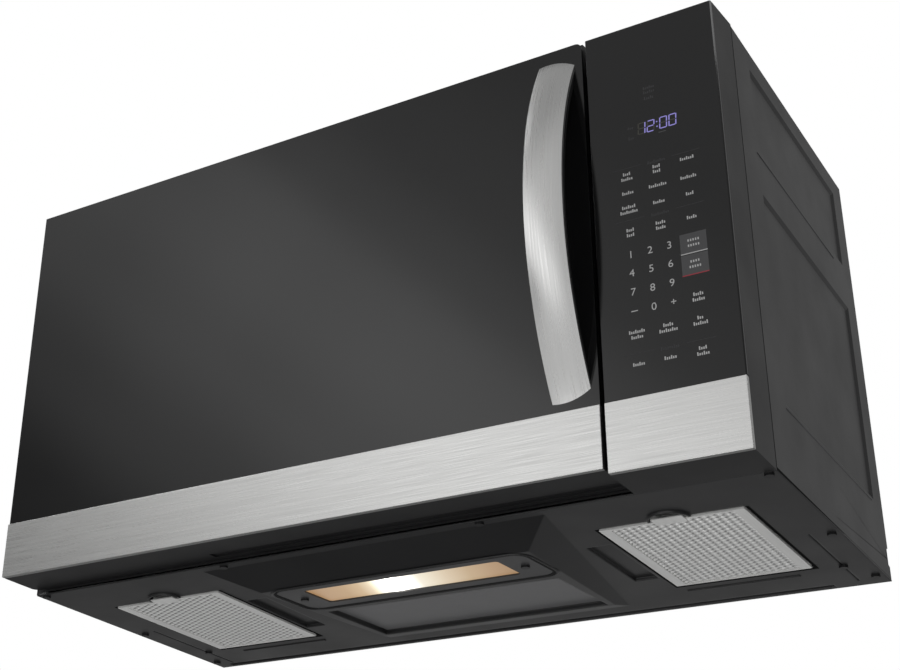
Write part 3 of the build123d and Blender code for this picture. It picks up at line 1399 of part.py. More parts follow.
# ---------------------------------------------------------------- bow handle: steel skin and dark back
skin_front = [
    (handle_left, handle_face + handle_left_drop),
    (handle_crown_x, handle_face),
    (handle_right, handle_face + handle_slant),
]
skin_back = [(x, y + handle_skin) for x, y in skin_front]
front_of_glass = Plane.XZ.offset(body_depth)
with BuildPart() as door_handle:
    with BuildSketch(Plane.XY.offset(handle_centre_z)):
        with BuildLine():
            ThreePointArc(*skin_front)
            Line(skin_front[2], skin_back[2])
            ThreePointArc(*reversed(skin_back))
            Line(skin_back[0], skin_front[0])
        make_face()
    revolve(axis=handle_axis)
    split(bisect_by=front_of_glass, keep=Keep.TOP)
door_handle.part.label = "door_handle"
export_step(door_handle.part, "parts/door_handle.step")

with BuildPart() as handle_back:
    back_y = handle_face + handle_depth
    with BuildSketch(Plane.XY.offset(handle_centre_z)):
        with BuildLine():
            ThreePointArc(*skin_back)
            Polyline(
                skin_back[2],
                (handle_right - handle_back_inset, back_y),
                (handle_left + handle_back_inset, back_y),
                skin_back[0],
            )
        make_face()
    revolve(axis=handle_axis)
    split(bisect_by=front_of_glass, keep=Keep.TOP)
handle_back.part.label = "handle_back"
export_step(handle_back.part, "parts/handle_back.step")

# ---------------------------------------------------------------- hinge brackets on the front frame
with BuildPart() as hinge_brackets:
    for arm, plate, pin in (
        (lower_arm, (lower_arm[0], lower_arm[0] + hinge_plate_height), (lower_arm[1], lower_boss[1])),
        (upper_arm, (upper_arm[1] - hinge_plate_height, upper_arm[1]), (upper_boss[0], upper_arm[0])),
    ):
        block(arm_x, (hinge_y, frame_rear + hinge_plate_sheet), arm)
        rod((hinge_x, hinge_y, (arm[0] + arm[1]) / 2), hinge_arm_width / 2, hinge_arm_sheet)
        plate_x = (arm_x[0] + hinge_plate_offset, arm_x[1] + hinge_plate_offset)
        block(plate_x, (frame_rear, frame_rear + hinge_plate_sheet), plate)
        rod((hinge_x, hinge_y, (pin[0] + pin[1]) / 2), hinge_pin_radius, pin[1] - pin[0])
hinge_brackets.part.label = "hinge_brackets"
export_step(hinge_brackets.part, "parts/hinge_brackets.step")

# ---------------------------------------------------------------- latch hooks in the door, and their board
latch_arm_x = (latch_x - latch_arm_width / 2, latch_x + latch_arm_width / 2)
bar_y = (screen_front - latch_bar_gap - latch_bar_depth, screen_front - latch_bar_gap)
board_z = (bottom + latch_heights[0] - board_overrun, bottom + latch_heights[1] + board_overrun)
with BuildPart() as latch_hooks:
    block(
        (latch_x - latch_bar_width / 2, latch_x + latch_bar_width / 2),
        bar_y,
        (bottom + latch_heights[0] - latch_bar_overrun, bottom + latch_heights[1] + latch_bar_overrun),
    )
    for height in latch_heights:
        z_mid = bottom + height
        z_span = (z_mid - latch_arm_height / 2, z_mid + latch_arm_height / 2)
        block(latch_arm_x, (bar_y[1], latch_tip), z_span)
        block(latch_arm_x, (latch_tip - latch_nose_length, latch_tip), (z_span[0] - latch_nose, z_span[0]))
latch_hooks.part.label = "latch_hooks"
export_step(latch_hooks.part, "parts/latch_hooks.step")

board_wall_x = (latch_slot_x[1] + 1, latch_slot_x[1] + 1 + latch_wall_sheet)
switch_front = latch_tip + plunger_gap + switch_gap
switch_y = (switch_front, switch_front + switch_size[1])
with BuildPart() as latch_board:
    block((latch_slot_x[0] - 2 * latch_wall_sheet, board_wall_x[1]),
          (frame_rear, frame_rear + latch_board_sheet), board_z)
    for low, high in latch_slots:
        block(latch_slot_x, (frame_rear - 1, frame_rear + 2 * latch_board_sheet), (low, high), Mode.SUBTRACT)
    block(board_wall_x, (frame_rear, switch_y[1]), board_z)
    for height in latch_heights:
        catch_top = bottom + height - latch_arm_height / 2 - latch_nose - catch_gap
        catch_x = (latch_slot_x[0], board_wall_x[0])
        block(catch_x, (frame_rear, latch_tip + 1), (catch_top - catch_sheet, catch_top))
latch_board.part.label = "latch_board"
export_step(latch_board.part, "parts/latch_board.step")

switch_x = (board_wall_x[0] - switch_size[0], board_wall_x[0])
with BuildPart() as interlock_switches:
    for height in latch_heights:
        z_mid = bottom + height
        block(switch_x, switch_y, (z_mid - switch_size[2] / 2, z_mid + switch_size[2] / 2))
        plunger_hole = plunger_radius + running_gap
        rod((latch_x, switch_y[0], z_mid), plunger_hole, 2 * plunger_length, "y", Mode.SUBTRACT)
interlock_switches.part.label = "interlock_switches"
export_step(interlock_switches.part, "parts/interlock_switches.step")

for height, name in zip(latch_heights, ("lower", "upper")):
    with BuildPart() as plunger:
        plunger_front = latch_tip + plunger_gap
        plunger_centre = (latch_x, plunger_front + plunger_length / 2, bottom + height)
        rod(plunger_centre, plunger_radius, plunger_length, "y")
    plunger.part.label = f"switch_plunger_{name}"
    export_step(plunger.part, f"parts/switch_plunger_{name}.step")
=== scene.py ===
import json
import math

import bmesh
import bpy
from mathutils import Matrix, Vector


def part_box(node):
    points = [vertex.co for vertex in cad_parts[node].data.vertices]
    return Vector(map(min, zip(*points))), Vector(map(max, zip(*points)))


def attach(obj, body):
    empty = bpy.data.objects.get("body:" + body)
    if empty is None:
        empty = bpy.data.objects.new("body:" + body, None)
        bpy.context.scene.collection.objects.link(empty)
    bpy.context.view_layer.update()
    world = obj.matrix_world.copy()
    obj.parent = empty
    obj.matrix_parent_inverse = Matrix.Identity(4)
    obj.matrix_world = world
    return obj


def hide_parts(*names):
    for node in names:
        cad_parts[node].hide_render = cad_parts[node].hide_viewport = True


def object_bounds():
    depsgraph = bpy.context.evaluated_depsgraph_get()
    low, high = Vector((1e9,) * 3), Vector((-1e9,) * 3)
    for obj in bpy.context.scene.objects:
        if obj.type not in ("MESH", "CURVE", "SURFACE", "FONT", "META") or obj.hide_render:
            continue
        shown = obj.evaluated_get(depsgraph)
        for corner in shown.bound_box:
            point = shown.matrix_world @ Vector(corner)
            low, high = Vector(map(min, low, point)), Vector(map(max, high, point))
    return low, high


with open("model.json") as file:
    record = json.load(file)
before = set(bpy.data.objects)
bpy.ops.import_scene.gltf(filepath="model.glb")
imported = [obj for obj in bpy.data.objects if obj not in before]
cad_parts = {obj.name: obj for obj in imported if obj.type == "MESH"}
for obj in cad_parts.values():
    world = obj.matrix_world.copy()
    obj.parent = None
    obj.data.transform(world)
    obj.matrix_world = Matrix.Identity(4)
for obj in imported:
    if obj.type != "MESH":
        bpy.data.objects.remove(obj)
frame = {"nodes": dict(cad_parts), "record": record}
cad_low, cad_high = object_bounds()

# Looks of an over-the-range oven. Metres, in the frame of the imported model:
# +X to the viewer's right, the door faces -Y, +Z up, origin at the middle of the rear face.
MM = 0.001
nodes = frame["nodes"]
slot_of_node = {part["node"]: part["material_slot"] for part in frame["record"]["subparts"]}

# ------------------------------------------------------------ camera
image_width, image_height = 900, 670
sensor_width = 36.0
focal_pixels = 1583.98
principal_point = (290.0, 322.0)
camera_place = (0.7150, -1.4759, -0.6586)
camera_azimuth, camera_elevation, camera_roll = 34.675, -26.124, 2.374
clip_near, clip_far = 0.05, 50.0


def make_camera():
    """Puts the camera where the picture was taken from; the off-centre crop is a lens shift."""
    angles = (camera_azimuth, camera_elevation, camera_roll)
    azimuth, elevation, roll = (math.radians(angle) for angle in angles)
    back = Vector((
        math.sin(azimuth) * math.cos(elevation),
        -math.cos(azimuth) * math.cos(elevation),
        math.sin(elevation),
    ))
    right = (-back).cross(Vector((0, 0, 1))).normalized()
    up = right.cross(-back)
    turned_right = math.cos(roll) * right + math.sin(roll) * up
    turned_up = -math.sin(roll) * right + math.cos(roll) * up
    data = bpy.data.cameras.new("camera")
    data.sensor_width = sensor_width
    data.lens = focal_pixels / image_width * sensor_width
    data.shift_x = (image_width / 2 - principal_point[0]) / image_width
    data.shift_y = (principal_point[1] - image_height / 2) / image_width
    data.clip_start, data.clip_end = clip_near, clip_far
    camera = bpy.data.objects.new("camera", data)
    bpy.context.scene.collection.objects.link(camera)
    axes = Matrix((turned_right, turned_up, back)).transposed().to_4x4()
    camera.matrix_world = Matrix.Translation(camera_place) @ axes
    bpy.context.scene.camera = camera


make_camera()


# ------------------------------------------------------------ material tools
def new_material(name, colour, roughness, metallic=0.0, **sockets):
    """A principled material; sockets are further even values, such as Specular_IOR_Level."""
    material = bpy.data.materials.new(name)
    material.use_nodes = True
    shader = material.node_tree.nodes["Principled BSDF"]
    shader.inputs["Base Color"].default_value = (*colour, 1.0)
    shader.inputs["Roughness"].default_value = roughness
    shader.inputs["Metallic"].default_value = metallic
    for socket, value in sockets.items():
        shader.inputs[socket.replace("_", " ")].default_value = value
    return material, material.node_tree, shader


def noise(tree, scale, stretch=(1, 1, 1), detail=3.0):
    """Noise in the object's own coordinates; stretch above 1 makes it finer along that axis."""
    place = tree.nodes.new("ShaderNodeTexCoord")
    mapping = tree.nodes.new("ShaderNodeMapping")
    mapping.inputs["Scale"].default_value = stretch
    texture = tree.nodes.new("ShaderNodeTexNoise")
    texture.inputs["Scale"].default_value = scale
    texture.inputs["Detail"].default_value = detail
    tree.links.new(place.outputs["Object"], mapping.inputs["Vector"])
    tree.links.new(mapping.outputs["Vector"], texture.inputs["Vector"])
    return texture.outputs["Fac"]


def between(tree, factor, low, high, start=0.3, end=0.7):
    """Maps a factor to a number between low and high."""
    ranged = tree.nodes.new("ShaderNodeMapRange")
    ranged.inputs["From Min"].default_value = start
    ranged.inputs["From Max"].default_value = end
    ranged.inputs["To Min"].default_value = low
    ranged.inputs["To Max"].default_value = high
    tree.links.new(factor, ranged.inputs["Value"])
    return ranged.outputs["Result"]


def ramp(tree, factor, stops, interpolation="LINEAR"):
    """A colour ramp; stops are (position, colour)."""
    node = tree.nodes.new("ShaderNodeValToRGB")
    node.color_ramp.interpolation = interpolation
    elements = node.color_ramp.elements
    while len(elements) < len(stops):
        elements.new(0.5)
    for element, (position, colour) in zip(elements, stops):
        element.position = position
        element.color = (*colour, 1.0)
    tree.links.new(factor, node.inputs["Fac"])
    return node.outputs["Color"]


def grey_ramp(tree, factor, stops, interpolation):
    """A ramp of greys; stops are (position, level)."""
    return ramp(tree, factor, [(place, (level, level, level)) for place, level in stops], interpolation)


def add_bump(tree, shader, height, strength, distance):
    """Links a height to the shader's normal."""
    bump = tree.nodes.new("ShaderNodeBump")
    bump.inputs["Strength"].default_value = strength
    bump.inputs["Distance"].default_value = distance
    tree.links.new(height, bump.inputs["Height"])
    tree.links.new(bump.outputs["Normal"], shader.inputs["Normal"])
    return bump


def shade(colour, share):
    """The colour, darker or lighter by a share."""
    return tuple(channel * share for channel in colour)


# paint and plastic: how fine the patches are, and how much the gloss changes in them
patch_scale = 14.0
patch_gloss = 0.04
grain_height = 0.4 * MM
fold_samples = 6


def grained(name, colour, roughness, grain=900.0, depth=0.05, variation=0.08, pressed=0.0, **sockets):
    """Paint or moulded plastic: a fine grain, with slow patches in colour and gloss.

    pressed is the radius to which the folds of a pressed sheet are softened.
    """
    material, tree, shader = new_material(name, colour, roughness, **sockets)
    fine = noise(tree, grain)
    slow = noise(tree, patch_scale)
    stops = [(0.3, shade(colour, 1 - variation)), (0.7, shade(colour, 1 + variation))]
    tree.links.new(ramp(tree, slow, stops), shader.inputs["Base Color"])
    gloss = between(tree, slow, roughness - patch_gloss, roughness + patch_gloss)
    tree.links.new(gloss, shader.inputs["Roughness"])
    bump = add_bump(tree, shader, fine, depth, grain_height)
    if pressed:
        folds = tree.nodes.new("ShaderNodeBevel")
        folds.samples = fold_samples
        folds.inputs["Radius"].default_value = pressed
        tree.links.new(folds.outputs["Normal"], bump.inputs["Normal"])
    return material


streak_scale, streak_gloss_scale = 9.0, 30.0
streak_gloss = 0.06
streak_height = 0.3 * MM


def brushed(name, colour, roughness, stretch, depth=0.03, contrast=0.05, metallic=1.0):
    """Brushed metal: streaks that are long along the axis with the smallest stretch."""
    material, tree, shader = new_material(name, colour, roughness, metallic=metallic)
    streaks = noise(tree, streak_scale, stretch, detail=6.0)
    fine = noise(tree, streak_gloss_scale, stretch, detail=2.0)
    stops = [(0.3, shade(colour, 1 - contrast)), (0.7, shade(colour, 1 + contrast))]
    tree.links.new(ramp(tree, streaks, stops), shader.inputs["Base Color"])
    gloss = between(tree, fine, roughness - streak_gloss, roughness + streak_gloss)
    tree.links.new(gloss, shader.inputs["Roughness"])
    add_bump(tree, shader, streaks, depth, streak_height)
    return material


net_grain, net_grain_depth, net_grain_height = 420.0, 0.5, 0.6 * MM


def pressed_net(name, light, dark, roughness):
    """Pressed aluminium net: bright bumps, and hollows darkened towards black as painted shade.

    The mesh's attribute hollow says how deep each point lies.
    """
    material, tree, shader = new_material(name, light, roughness, metallic=0.5)
    hollow = tree.nodes.new("ShaderNodeAttribute")
    hollow.attribute_name = "hollow"
    # painted shade: the colour darkens with the depth of the hollow, down to near black
    stops = [(0.0, light), (0.40, shade(light, 0.75)), (0.68, shade(light, 0.28)), (0.88, dark)]
    tree.links.new(ramp(tree, hollow.outputs["Fac"], stops), shader.inputs["Base Color"])
    add_bump(tree, shader, noise(tree, net_grain), net_grain_depth, net_grain_height)
    return material


glass_ior = 1.5
clear_smudge_scale, clear_smudge_gloss = 25.0, 0.06


def see_through(name, colour, roughness):
    """Glass that lets light through, with faint smudges."""
    material, tree, shader = new_material(name, colour, roughness, Transmission_Weight=1.0, IOR=glass_ior)
    slow = noise(tree, clear_smudge_scale)
    gloss = between(tree, slow, roughness, roughness + clear_smudge_gloss)
    tree.links.new(gloss, shader.inputs["Roughness"])
    return material


black_smudge_scale = 6.0
black_glass_roughness = (0.05, 0.11)


def black_glass(name, colour):
    """Tempered glass with a black back: mirror-like, with very faint smudges."""
    material, tree, shader = new_material(name, colour, black_glass_roughness[0], IOR=glass_ior)
    slow = noise(tree, black_smudge_scale)
    tree.links.new(between(tree, slow, *black_glass_roughness), shader.inputs["Roughness"])
    stops = [(0.3, shade(colour, 0.9)), (0.7, shade(colour, 1.1))]
    tree.links.new(ramp(tree, slow, stops), shader.inputs["Base Color"])
    return material


speck_edge = (0.52, 0.64)
speck_depth, speck_height = 0.1, 0.3 * MM


def speckled(name, dark, light, roughness, scale=1400.0):
    """Enamel or granules: two colours in fine specks."""
    material, tree, shader = new_material(name, dark, roughness)
    specks = noise(tree, scale, detail=1.0)
    stops = [(speck_edge[0], dark), (speck_edge[1], light)]
    tree.links.new(ramp(tree, specks, stops), shader.inputs["Base Color"])
    add_bump(tree, shader, specks, speck_depth, speck_height)
    return material


# the lit lamp window from its left end to its right: warm ends, white where the bulb stands behind it
lens_half = 0.103
lens_slant = 0.30
lens_colours = (
    (0.0, (0.36, 0.20, 0.09)), (0.05, (0.43, 0.27, 0.155)), (0.16, (0.47, 0.31, 0.175)),
    (0.24, (0.60, 0.43, 0.26)), (0.31, (0.88, 0.76, 0.56)), (0.37, (1.0, 0.98, 0.93)),
    (0.50, (1.0, 0.96, 0.88)), (0.58, (0.86, 0.79, 0.64)), (0.68, (0.68, 0.56, 0.41)),
    (0.80, (0.50, 0.36, 0.22)), (0.92, (0.40, 0.25, 0.14)), (1.0, (0.34, 0.20, 0.10)),
)
lens_strengths = (
    (0.0, 0.16), (0.28, 0.165), (0.36, 0.30), (0.42, 1.0), (0.48, 0.30), (0.56, 0.165), (1.0, 0.16),
)
lens_peak = 5.5


def lit_lens(name):
    """The lamp's window; the bright part slants across it, as the bulb lies askew behind it."""
    material, tree, shader = new_material(name, (0.10, 0.08, 0.05), 0.30)
    low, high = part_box("lamp_lens")
    place = tree.nodes.new("ShaderNodeTexCoord")
    across = tree.nodes.new("ShaderNodeVectorMath")
    across.operation = "DOT_PRODUCT"
    across.inputs[1].default_value = (1.0, lens_slant, 0.0)
    tree.links.new(place.outputs["Object"], across.inputs[0])
    middle = lens_slant * (low.y + high.y) / 2
    along = between(tree, across.outputs["Value"], 0.0, 1.0, middle - lens_half, middle + lens_half)
    tree.links.new(ramp(tree, along, lens_colours), shader.inputs["Emission Color"])
    level = grey_ramp(tree, along, lens_strengths, "EASE")
    tree.links.new(between(tree, level, 0.0, lens_peak, 0.0, 1.0), shader.inputs["Emission Strength"])
    return material


glow_roughness = 0.3
glow_grain = 300.0


def glowing(name, colour, strength):
    """A lit sign: its own even light, broken up a little by noise."""
    material, tree, shader = new_material(name, shade(colour, 0.2), glow_roughness)
    stops = [(0.3, shade(colour, 0.92)), (0.7, colour)]
    tree.links.new(ramp(tree, noise(tree, glow_grain), stops), shader.inputs["Emission Color"])
    shader.inputs["Emission Strength"].default_value = strength
    return material


# ------------------------------------------------------------ materials
# stretches of the brushed streaks: along X, along Y, and along the bow of the handle
along_x = (0.6, 60.0, 60.0)
along_y = (20.0, 1.0, 20.0)
along_handle = (60.0, 0.6, 0.6)

finishes = {
    "cabinet_paint": grained("cabinet_paint", (0.009, 0.009, 0.0095), 0.34),
    "rear_steel": grained(
        "rear_steel", (0.34, 0.35, 0.36), 0.38, grain=400.0, variation=0.14, Metallic=0.9,
    ),
    "black_plastic": grained("black_plastic", (0.008, 0.008, 0.0085), 0.40, Specular_IOR_Level=0.42),
    "black_glass": black_glass("black_glass", (0.004, 0.004, 0.0042)),
    "brushed_steel": brushed("brushed_steel", (0.68, 0.68, 0.67), 0.30, along_x),
    "filter_aluminium": brushed("filter_aluminium", (0.64, 0.64, 0.63), 0.48, along_y, metallic=0.5),
    "lens_glass": lit_lens("lens_glass"),
    "bulb_glass": glowing("bulb_glass", (1.0, 0.86, 0.62), 2.0),
    "cavity_enamel": speckled("cavity_enamel", (0.13, 0.13, 0.135), (0.30, 0.30, 0.30), 0.35),
    "clear_glass": see_through("clear_glass", (0.92, 0.96, 0.94), 0.02),
    "mica": grained("mica", (0.48, 0.42, 0.32), 0.55, grain=220.0, variation=0.2),
    "motor_steel": grained("motor_steel", (0.42, 0.42, 0.43), 0.36, variation=0.18, Metallic=0.95),
    "screw_steel": grained("screw_steel", (0.006, 0.006, 0.0065), 0.36, grain=500.0),
    "white_plastic": grained("white_plastic", (0.62, 0.62, 0.60), 0.42),
    "switch_plastic": grained("switch_plastic", (0.08, 0.08, 0.085), 0.32),
    "display_plastic": black_glass("display_plastic", (0.014, 0.014, 0.02)),
    "board": speckled("board", (0.02, 0.10, 0.05), (0.05, 0.19, 0.09), 0.4, 500.0),
    "charcoal": speckled("charcoal", (0.012, 0.012, 0.012), (0.07, 0.07, 0.07), 0.8, 350.0),
    "grommet_rubber": grained("grommet_rubber", (0.018, 0.018, 0.018), 0.62),
}
handle_steel = brushed("handle_steel", (0.82, 0.82, 0.81), 0.31, along_handle, depth=0.001, contrast=0.02)
legend_ink = grained("legend_ink", (0.34, 0.34, 0.34), 0.5)
faint_ink = grained("faint_ink", (0.017, 0.017, 0.019), 0.5)
pad_ink = grained("pad_ink", (0.043, 0.043, 0.045), 0.5)
pad_line = grained("pad_line", (0.31, 0.31, 0.31), 0.5)
stop_line = grained("stop_line", (0.25, 0.011, 0.022), 0.5)
digit_light = glowing("digit_light", (0.25, 0.22, 0.58), 0.85)
digit_unlit = grained("digit_unlit", (0.031, 0.029, 0.022), 0.4)
gasket_rubber = grained("gasket_rubber", (0.006, 0.006, 0.006), 0.6, Specular_IOR_Level=0.2)
net_metal = pressed_net("net_metal", (0.84, 0.84, 0.83), (0.02, 0.02, 0.02), 0.34)
base_paint = grained("base_paint", (0.009, 0.009, 0.0095), 0.34, pressed=2.5 * MM)
# painted light: the recess panel's paint is much lighter than the base's, for the light that the recess
# catches
recess_light_paint = grained("recess_light_paint", (0.078, 0.078, 0.080), 0.40)
plate_paint = grained("plate_paint", (0.024, 0.024, 0.025), 0.36)
# painted highlight: the side ribs are lighter than the cabinet's paint
rib_highlight_paint = grained("rib_highlight_paint", (0.024, 0.024, 0.025), 0.40)
# dark joints on the sides, and painted shade in the gaps round the filters
joint_and_shade_black = grained("joint_and_shade_black", (0.002, 0.002, 0.002), 0.8, Specular_IOR_Level=0.1)
blade_plastic = grained("blade_plastic", (0.05, 0.05, 0.052), 0.4)

special_finish = {
    "door_handle": handle_steel, "base_plate": base_paint, "lamp_cover_plate": plate_paint,
    "blower_rotor": blade_plastic, "fan_blade": blade_plastic,
}
bevelled_nodes = (
    "cabinet_wrap", "base_plate", "door_frame", "panel_housing", "door_trim", "panel_trim",
    "door_glass", "panel_glass", "lamp_cover_plate", "handle_back", "vent_grille",
)
bevel_width = 0.5 * MM
bevel_angle = 50
weld_distance = 0.002 * MM


def dress_nodes():
    """Gives every CAD node its finish, and the outer ones a fine rounding of their edges."""
    for name, obj in nodes.items():
        material = special_finish.get(name, finishes[slot_of_node[name]])
        obj.data.materials.clear()
        obj.data.materials.append(material)
    for name in bevelled_nodes:
        weld = nodes[name].modifiers.new("weld", "WELD")
        weld.merge_threshold = weld_distance
        bevel = nodes[name].modifiers.new("bevel", "BEVEL")
        bevel.width = bevel_width
        bevel.segments = 2
        bevel.limit_method = "ANGLE"
        bevel.angle_limit = math.radians(bevel_angle)
        bevel.harden_normals = True


dress_nodes()


# ------------------------------------------------------------ mesh tools
def new_piece(name, mesh_builder, material, body, smooth=False):
    """Makes an object from a bmesh, gives it a material, and lets it ride on a body."""
    mesh = bpy.data.meshes.new(name)
    mesh_builder.to_mesh(mesh)
    mesh_builder.free()
    if smooth:
        mesh.shade_smooth()
    obj = bpy.data.objects.new(name, mesh)
    bpy.context.scene.collection.objects.link(obj)
    mesh.materials.append(material)
    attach(obj, body)
    return obj


def add_plate(builder, corners, thickness_vector):
    """A flat plate: its outline, and the same outline moved by the thickness."""
    lower = [builder.verts.new(corner) for corner in corners]
    upper = [builder.verts.new(Vector(corner) + Vector(thickness_vector)) for corner in corners]
    builder.faces.new(lower)
    builder.faces.new(list(reversed(upper)))
    count = len(corners)
    for i in range(count):
        builder.faces.new((lower[i], upper[i], upper[(i + 1) % count], lower[(i + 1) % count]))


corner_steps = 6


def rounded_outline(width, height, radius, centre):
    """Corners of a rounded rectangle, anticlockwise, as pairs."""
    points = []
    for quarter, (sx, sy) in enumerate(((1, 1), (-1, 1), (-1, -1), (1, -1))):
        cx = centre[0] + sx * (width / 2 - radius)
        cy = centre[1] + sy * (height / 2 - radius)
        for step in range(corner_steps + 1):
            angle = math.radians(90 * quarter + 90 * step / corner_steps)
            points.append((cx + radius * math.cos(angle), cy + radius * math.sin(angle)))
    return points


# ------------------------------------------------------------ control panel print
panel_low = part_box("panel_glass")[0]
ink_thickness = 0.05 * MM


def panel_point(x, z, lift=0.0):
    """A point on the panel's front, from its left edge and its lower edge."""
    return (panel_low.x + x, panel_low.y - lift, panel_low.z + z)


def add_print(builder, x, z, width, height, lift=0.0):
    """A printed patch on the panel, centred at x, z; lift puts it on top of another one."""
    half_w, half_h = width / 2, height / 2
    outline = ((-half_w, -half_h), (half_w, -half_h), (half_w, half_h), (-half_w, half_h))
    corners = [panel_point(x + px, z + pz, lift) for px, pz in outline]
    add_plate(builder, corners, (0, -ink_thickness, 0))


key_columns = (30.0 * MM, 46.7 * MM, 63.2 * MM)
key_rows = (126.8 * MM, 109.7 * MM, 92.3 * MM, 75.0 * MM)
key_digits = (("1", "2", "3"), ("4", "5", "6"), ("7", "8", "9"), ("", "0", "+"))
digit_size = 9.4 * MM
minus_size = (5.6 * MM, 0.85 * MM)


def make_keypad():
    """The numbers of the touch keypad, printed on the glass."""
    for z, digits in zip(key_rows, key_digits):
        for x, digit in zip(key_columns, digits):
            if not digit:
                dash = bmesh.new()
                add_print(dash, x, z, *minus_size)
                new_piece("key_minus", dash, legend_ink, "root")
                continue
            curve = bpy.data.curves.new("key_text", "FONT")
            curve.body = digit
            curve.size = digit_size
            curve.align_x = "CENTER"
            curve.align_y = "CENTER"
            curve.extrude = ink_thickness / 2
            curve.materials.append(legend_ink)
            name = "plus" if digit == "+" else digit
            text = bpy.data.objects.new(f"key_{name}", curve)
            bpy.context.scene.collection.objects.link(text)
            text.rotation_euler = (math.radians(90), 0, 0)
            text.location = panel_point(x, z, ink_thickness / 2)
            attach(text, "root")


# each place for a label: its column, z in mm and the letters of each line's mark
label_columns = (30.8 * MM, 57.2 * MM, 83.8 * MM)
mark_places = (
    (0, 201.6, (4, 6)), (1, 201.6, (4, 4)), (2, 203.6, (7,)),
    (0, 185.6, (6,)), (1, 185.6, (9,)), (2, 185.6, (8,)),
    (0, 169.6, (7, 9)), (1, 169.6, (6,)), (2, 169.6, (4,)),
    (0, 147.4, (4, 4)), (1, 147.4, (5, 5)), (2, 147.4, (5,)),
    (2, 74.7, (5, 6)),
    (0, 53.6, (8, 6)), (1, 53.6, (5, 9)), (2, 53.6, (3, 7)),
    (0, 27.2, (6,)), (1, 27.2, (6,)), (2, 27.2, (4, 6)),
)
mark_pitch = 1.75 * MM
mark_stroke = 1.1 * MM
mark_low, mark_tall = 2.1 * MM, 3.1 * MM
mark_line_gap = 4.8 * MM


def add_mark_line(builder, x, z, letters):
    """A row of small upright strokes, which stands where a word would be."""
    for i in range(letters):
        tall = i % 3 == 0
        height = mark_tall if tall else mark_low
        px = x + (i - (letters - 1) / 2) * mark_pitch
        add_print(builder, px, z + (height - mark_low) / 2, mark_stroke, height)


def make_marks():
    """Rows of strokes in the places of the panel's words."""
    builder = bmesh.new()
    for column, z, lines in mark_places:
        for row, letters in enumerate(lines):
            height = z * MM - (row - (len(lines) - 1) / 2) * mark_line_gap
            add_mark_line(builder, label_columns[column], height, letters)
    new_piece("label_marks", builder, legend_ink, "root")


pad_x, pad_width = 83.4 * MM, 22.3 * MM
start_z, stop_z, pad_height = 124.4 * MM, 104.9 * MM, 17.8 * MM
pad_line_height = 0.9 * MM
pad_mark_pitch = 1.2 * mark_pitch


def make_pads():
    """The two larger pads, each with a line under it."""
    pads, marks = bmesh.new(), bmesh.new()
    for z in (start_z, stop_z):
        add_print(pads, pad_x, z, pad_width, pad_height)
    new_piece("key_pads", pads, pad_ink, "root")
    for name, z, material in (("start_line", start_z, pad_line), ("stop_line", stop_z, stop_line)):
        line = bmesh.new()
        add_print(line, pad_x, z - pad_height / 2 - pad_line_height / 2, pad_width, pad_line_height)
        new_piece(name, line, material, "root")
    for z, rows in ((start_z, (5, 5)), (stop_z, (4, 5))):
        for row, letters in enumerate(rows):
            height = z - (row - 0.5) * mark_line_gap
            for i in range(letters):
                px = pad_x + (i - (letters - 1) / 2) * pad_mark_pitch
                add_print(marks, px, height, mark_stroke, mark_low, ink_thickness)
    new_piece("pad_marks", marks, legend_ink, "root")


divider_rows = (210.0 * MM, 159.5 * MM, 37.0 * MM)
divider_spans = ((18.0 * MM, 44.0 * MM), (71.0 * MM, 95.0 * MM))
divider_height = 0.5 * MM
divider_letters = 9
# faint marks round the clock: x and z in mm, and letters
faint_places = ((36.8, 248.1, 3), (37.0, 237.7, 3), (55.5, 284.0, 6), (55.5, 279.5, 6), (55.0, 273.5, 5))
# the small bar under the clock: its middle and its size
clock_bar = (64.8 * MM, 236.2 * MM, 6.5 * MM, 0.8 * MM)


def make_dividers():
    """Faint lines with a row of marks in the middle, and the unlit signs round the clock."""
    builder = bmesh.new()
    for z in divider_rows:
        for low, high in divider_spans:
            add_print(builder, (low + high) / 2, z, high - low, divider_height)
        middle = (divider_spans[0][1] + divider_spans[1][0]) / 2
        add_mark_line(builder, middle, z - mark_low / 2, divider_letters)
    for x, z, letters in faint_places:
        add_mark_line(builder, x * MM, z * MM, letters)
    new_piece("panel_dividers", builder, faint_ink, "root")
    bar = bmesh.new()
    add_print(bar, *clock_bar)
    new_piece("clock_bar", bar, pad_ink, "root")


# seven-segment clock: segments a to g, clockwise from the top, then the middle
segments_of_digit = {"0": "abcdef", "1": "bc", "2": "abged"}
clock_z = 245.2 * MM
clock_digit = (6.0 * MM, 11.6 * MM)
clock_stroke = 1.0 * MM
clock_slant = 0.06
clock_places = (46.9 * MM, 55.0 * MM, 66.2 * MM, 74.4 * MM)
clock_shows = ("1", "2", "0", "0")
colon_dot, colon_rise = 1.2 * MM, 2.4 * MM


def add_segment(builder, x, z, letter):
    """One bar of a seven-segment digit, leaning to the right."""
    w, h = clock_digit[0] / 2, clock_digit[1] / 2
    s = clock_stroke / 2
    boxes = {
        "a": (-w + s, h - 2 * s, w - s, h), "d": (-w + s, -h, w - s, -h + 2 * s),
        "g": (-w + s, -s, w - s, s), "f": (-w - s, s, -w + s, h - s), "b": (w - s, s, w + s, h - s),
        "e": (-w - s, -h + s, -w + s, -s), "c": (w - s, -h + s, w + s, -s),
    }
    x0, z0, x1, z1 = boxes[letter]
    outline = [(x0, z0), (x1, z0), (x1, z1), (x0, z1)]
    corners = [panel_point(x + px + pz * clock_slant, z + pz) for px, pz in outline]
    add_plate(builder, corners, (0, -ink_thickness, 0))


